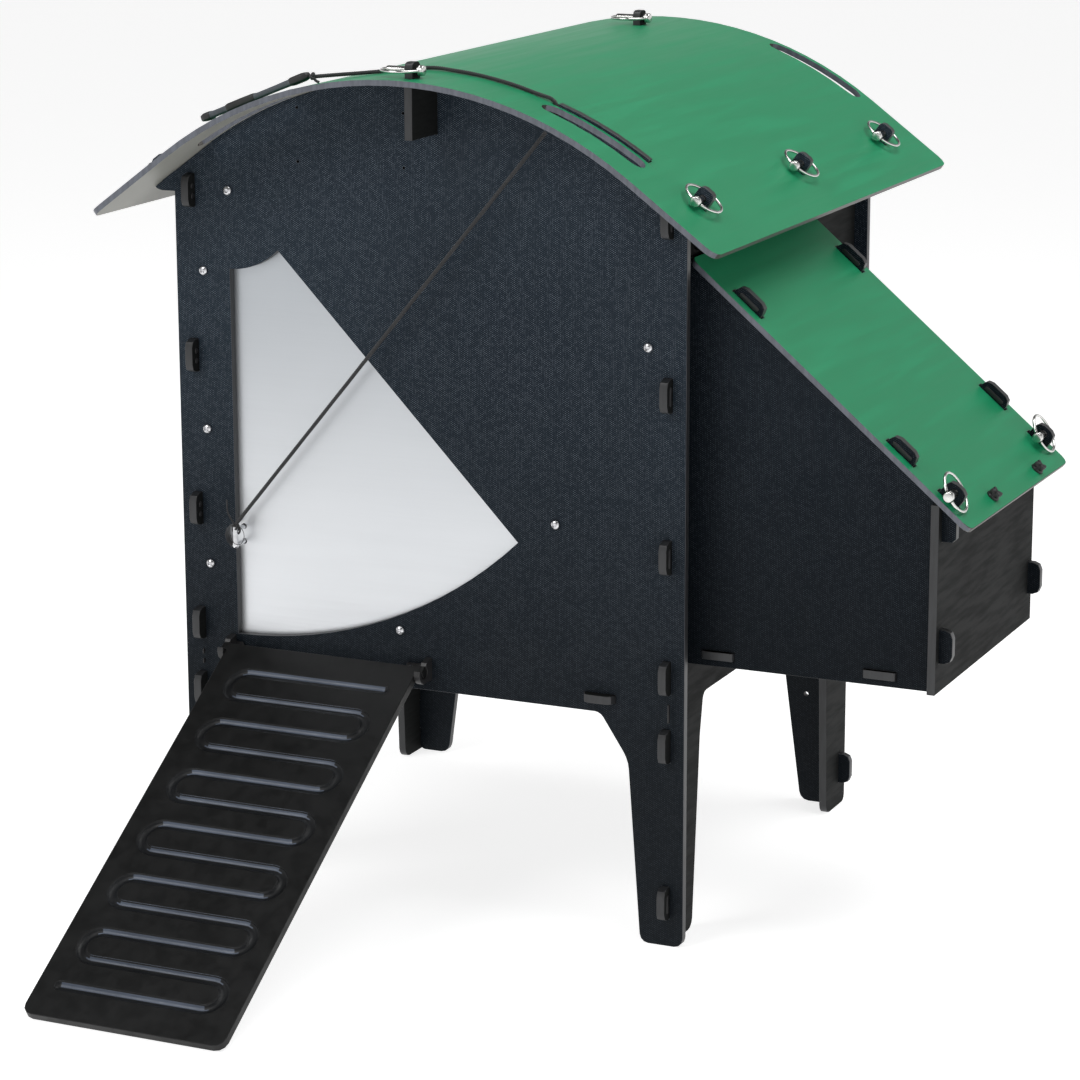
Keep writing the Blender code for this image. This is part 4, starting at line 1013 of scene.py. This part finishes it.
def make_lid_studs():
    normal, up = slope("nest_lid", Y)[:2]
    for name, y, distance in LID_STUDS:
        place = lid_place(distance, MIDDLE.y + y, 0.0001)
        mesh = mesh_from(f"lid_stud_{name}", *merged(stud_parts(place, normal, up)))
        piece(f"lid_stud_{name}", mesh, "lid", [], [FITTING])


# handle and cord


def handle_ends():
    """The middles of the handle's rounded ends, from its low left one to its high right one."""
    low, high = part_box("cord_handle")
    y, r = (low.y + high.y) / 2, HANDLE_ROUND
    return Vector((low.x + r, y, low.z + r)), Vector((high.x - r, y, high.z - r))


def make_handle():
    """A moulded bar with swollen grips at its ends and middle, as a loft of rounded sections."""
    start, end = handle_ends()
    along = (end - start).normalized()
    up = along.cross(Y).normalized()
    length = (end - start).length + 2 * HANDLE_ROUND
    start = start - along * HANDLE_ROUND
    verts = []
    for i in range(HANDLE_ROWS + 1):
        share = i / HANDLE_ROWS
        after = next(k for k, station in enumerate(HANDLE_STATIONS) if station[0] >= share)
        first, second = HANDLE_STATIONS[max(after - 1, 0)], HANDLE_STATIONS[after]
        span = second[0] - first[0]
        t = (share - first[0]) / span if span else 0
        t = t * t * (3 - 2 * t)
        wide = first[1] + (second[1] - first[1]) * t
        tall = first[2] + (second[2] - first[2]) * t
        for k in range(HANDLE_STEPS):
            a = 2 * math.pi * k / HANDLE_STEPS
            c, s = math.cos(a), math.sin(a)
            u = math.copysign(abs(c) ** HANDLE_SQUARE, c) * wide
            v = math.copysign(abs(s) ** HANDLE_SQUARE, s) * tall
            verts.append(start + along * (length * share) + Y * u + up * v)
    mesh = mesh_from("cord_handle", verts, ring_faces(HANDLE_ROWS + 1, HANDLE_STEPS))
    piece("cord_handle_finish", mesh, "house", ["cord_handle"], [HANDLE_GREY, FITTING])
    for face in mesh.polygons:
        share = (face.center - start).dot(along) / length
        face.material_index = int(any(low <= share <= high for low, high in HANDLE_DARK))


def knot_points(place, axis, size):
    """A closed trefoil, which reads as a tight overhand knot."""
    axis = axis.normalized()
    side = axis.orthogonal().normalized()
    other = axis.cross(side)
    points = []
    for i in range(KNOT_STEPS):
        a = 2 * math.pi * i / KNOT_STEPS
        u, v, w = math.sin(a) + 2 * math.sin(2 * a), math.cos(a) - 2 * math.cos(2 * a), -math.sin(3 * a)
        points.append(place + (side * u + other * v) * size / 3 + axis * w * size * 0.55)
    return points


def roof_height(x, y):
    """The height of the roof's upper face over a point."""
    mesh = NODES["roof_sheet"].data
    tree = BVHTree.FromPolygons([v.co for v in mesh.vertices], [face.vertices for face in mesh.polygons])
    return tree.ray_cast(Vector((x, y, 2)), -Z)[0].z


def lower_cord_ends():
    low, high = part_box("cord_lower")
    r = CORD_RADIUS
    return Vector((high.x - r, low.y + r, high.z - r)), Vector((low.x + r, high.y - r, low.z + r))


def make_cord_upper():
    """From the handle's raised end over the ridge, then down through the slit by the front wall's tab."""
    start = handle_ends()[1] + Vector((KNOT_OUT, 0, 0))
    points = [start]
    for x, y in CORD_OVER:
        x, y = MIDDLE.x + x, MIDDLE.y + y
        points.append(Vector((x, y, roof_height(x, y) + ROPE_RADIUS + 0.0004)))
    points.insert(1, points[0].lerp(points[1], 0.5))
    points += [MIDDLE + Vector(place) for place in CORD_DOWN]
    points.append(lower_cord_ends()[0] + Vector((0.0004, 0.0006, 0.0035)))
    mesh = mesh_from("cord_upper", *rope(points, ROPE_RADIUS))
    piece("cord_upper_braid", mesh, "house", ["cord_upper"], [FIBRE])
    knot = handle_ends()[1] + Vector((KNOT_OUT, 0, 0.0002))
    tail = [knot, knot + Vector((0.004, -0.001, -0.0040)), knot + Vector((0.0085, -0.0015, -0.0055))]
    loop = [knot, knot + Vector((-0.004, 0, 0.0012)), knot + Vector((-0.0075, 0.0005, 0.0004))]
    parts = [sweep(knot_points(knot, X, 0.0034), CORD_RADIUS * 0.85, 10, True)]
    parts += [rope(tail, CORD_RADIUS), rope(loop, CORD_RADIUS * 0.8)]
    mesh = mesh_from("handle_knot", *merged(parts))
    piece("handle_knot", mesh, "house", [], [FIBRE])


def make_cord_lower():
    """The taut run from the roof's edge to the shackle, as a mesh of its own. The real cord shortens as
    the door is pulled open.
    """
    top, foot = lower_cord_ends()
    points = [top.lerp(foot, i / 12) for i in range(13)]
    mesh = mesh_from("cord_lower", *rope(points, ROPE_RADIUS))
    made = piece("cord_lower_braid", mesh, "house", ["cord_lower"], [FIBRE])
    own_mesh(made)


def make_shackle_knot():
    """The cord's knot on the shackle's upper arm, its tail, and a loose thread that hangs round it."""
    _, foot = lower_cord_ends()
    low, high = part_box("door_shackle")
    arm = Vector((foot.x, foot.y + 0.0015, high.z - SHACKLE_WIRE))
    knot = foot.lerp(arm, 0.35)
    parts = [sweep(knot_points(knot, foot - arm, 0.0036), CORD_RADIUS * 0.9, 10, True)]
    eye, steps = [], 28
    for k in range(steps):
        a = 2 * math.pi * k / steps
        eye.append(arm + X * (math.cos(a) * 0.0044) + Z * (math.sin(a) * 0.0044))
    parts.append(sweep(eye, CORD_RADIUS * 0.8, 10, True))
    tail = [knot, knot + Vector((-0.003, -0.002, 0.006)), knot + Vector((-0.0085, -0.0025, 0.016))]
    tail.append(knot + Vector((-0.0100, -0.001, 0.030)))
    parts.append(rope(tail, CORD_RADIUS * 0.62))
    mesh = mesh_from("shackle_knot", *merged(parts))
    piece("shackle_knot", mesh, "door", [], [FIBRE])
    thread, middle = [], knot + Vector((0.0035, -0.0035, -0.009))
    for k in range(15):
        a = math.radians(70 - 250 * k / 14)
        thread.append(middle + X * (0.0085 * math.cos(a)) + Z * (0.0105 * math.sin(a)))
    mesh = mesh_from("shackle_thread", *sweep(evenly(thread, 0.0008), 0.00035, 8))
    piece("shackle_thread", mesh, "door", [], [FIBRE])


# camera, lights and floor


def make_camera():
    data = bpy.data.cameras.new("camera")
    data.lens, data.sensor_width = CAMERA_LENS, CAMERA_SENSOR
    data.clip_end = CAMERA_FAR
    camera = bpy.data.objects.new("camera", data)
    bpy.context.scene.collection.objects.link(camera)
    flat = math.cos(CAMERA_DIP)
    view = Vector((-math.sin(CAMERA_TURN) * flat, math.cos(CAMERA_TURN) * flat, -math.sin(CAMERA_DIP)))
    aim = view.to_track_quat("-Z", "Y").to_matrix()
    roll = Matrix.Rotation(CAMERA_ROLL, 3, "Z")
    place = Matrix.Translation(MIDDLE + Vector(CAMERA_PLACE))
    camera.matrix_world = place @ (aim @ roll).to_4x4()
    bpy.context.scene.camera = camera


def make_softbox(name, place, target, width, height, power):
    data = bpy.data.lights.new(name, "AREA")
    data.shape = "RECTANGLE"
    data.size, data.size_y = width, height
    data.energy = power
    lamp = bpy.data.objects.new(name, data)
    bpy.context.scene.collection.objects.link(lamp)
    lamp.location = place
    lamp.rotation_euler = (Vector(target) - Vector(place)).to_track_quat("-Z", "Y").to_euler()


def make_studio():
    """A pale floor, a white surround that is darker overhead, and soft lights above and beside."""
    world = bpy.data.worlds.new("studio")
    bpy.context.scene.world = world
    world.use_nodes = True
    tree = world.node_tree
    place = tree.nodes.new("ShaderNodeTexCoord")
    split = tree.nodes.new("ShaderNodeSeparateXYZ")
    ramp = tree.nodes.new("ShaderNodeValToRGB")
    tree.links.new(place.outputs["Generated"], split.inputs[0])
    tree.links.new(split.outputs[2], ramp.inputs[0])
    tree.links.new(ramp.outputs[0], tree.nodes["Background"].inputs[0])
    stops = ramp.color_ramp.elements
    stops.remove(stops[1])
    for index, (height, level) in enumerate(SURROUND):
        stop = stops[0] if index == 0 else stops.new(height)
        stop.position = height
        stop.color = (level, level, level, 1)
    tree.nodes["Background"].inputs[1].default_value = 1.0
    bpy.context.scene.view_settings.view_transform = "Standard"
    for lamp in LAMPS:
        make_softbox(*lamp)
    floor_mesh = bpy.data.meshes.new("floor")
    work = bmesh.new()
    bmesh.ops.create_grid(work, x_segments=2, y_segments=2, size=FLOOR_HALF)
    work.to_mesh(floor_mesh)
    work.free()
    floor = bpy.data.objects.new("studio_floor", floor_mesh)
    bpy.context.scene.collection.objects.link(floor)
    floor.location.z = cad_box[0][2] - FLOOR_DROP
    pale = Finish("pale_floor", (0.6, 0.6, 0.6), 0.7, Specular_IOR_Level=0.1)
    pale.set("Emission Color", (1, 1, 1, 1))
    pale.set("Emission Strength", FLOOR_GLOW)
    pale.tint(pale.noise(3, 2), (0.59, 0.59, 0.59), (0.61, 0.61, 0.61))
    floor.data.materials.append(pale.material)


make_black_sheets()
make_green_sheets()
make_door()
make_fittings()
make_ramp()
make_screws()
make_pivot_bolt()
make_linch_pins()
make_shackle()
make_tab_catches()
make_lid_catches()
make_lid_studs()
make_handle()
make_cord_upper()
make_cord_lower()
make_shackle_knot()
make_camera()
make_studio()
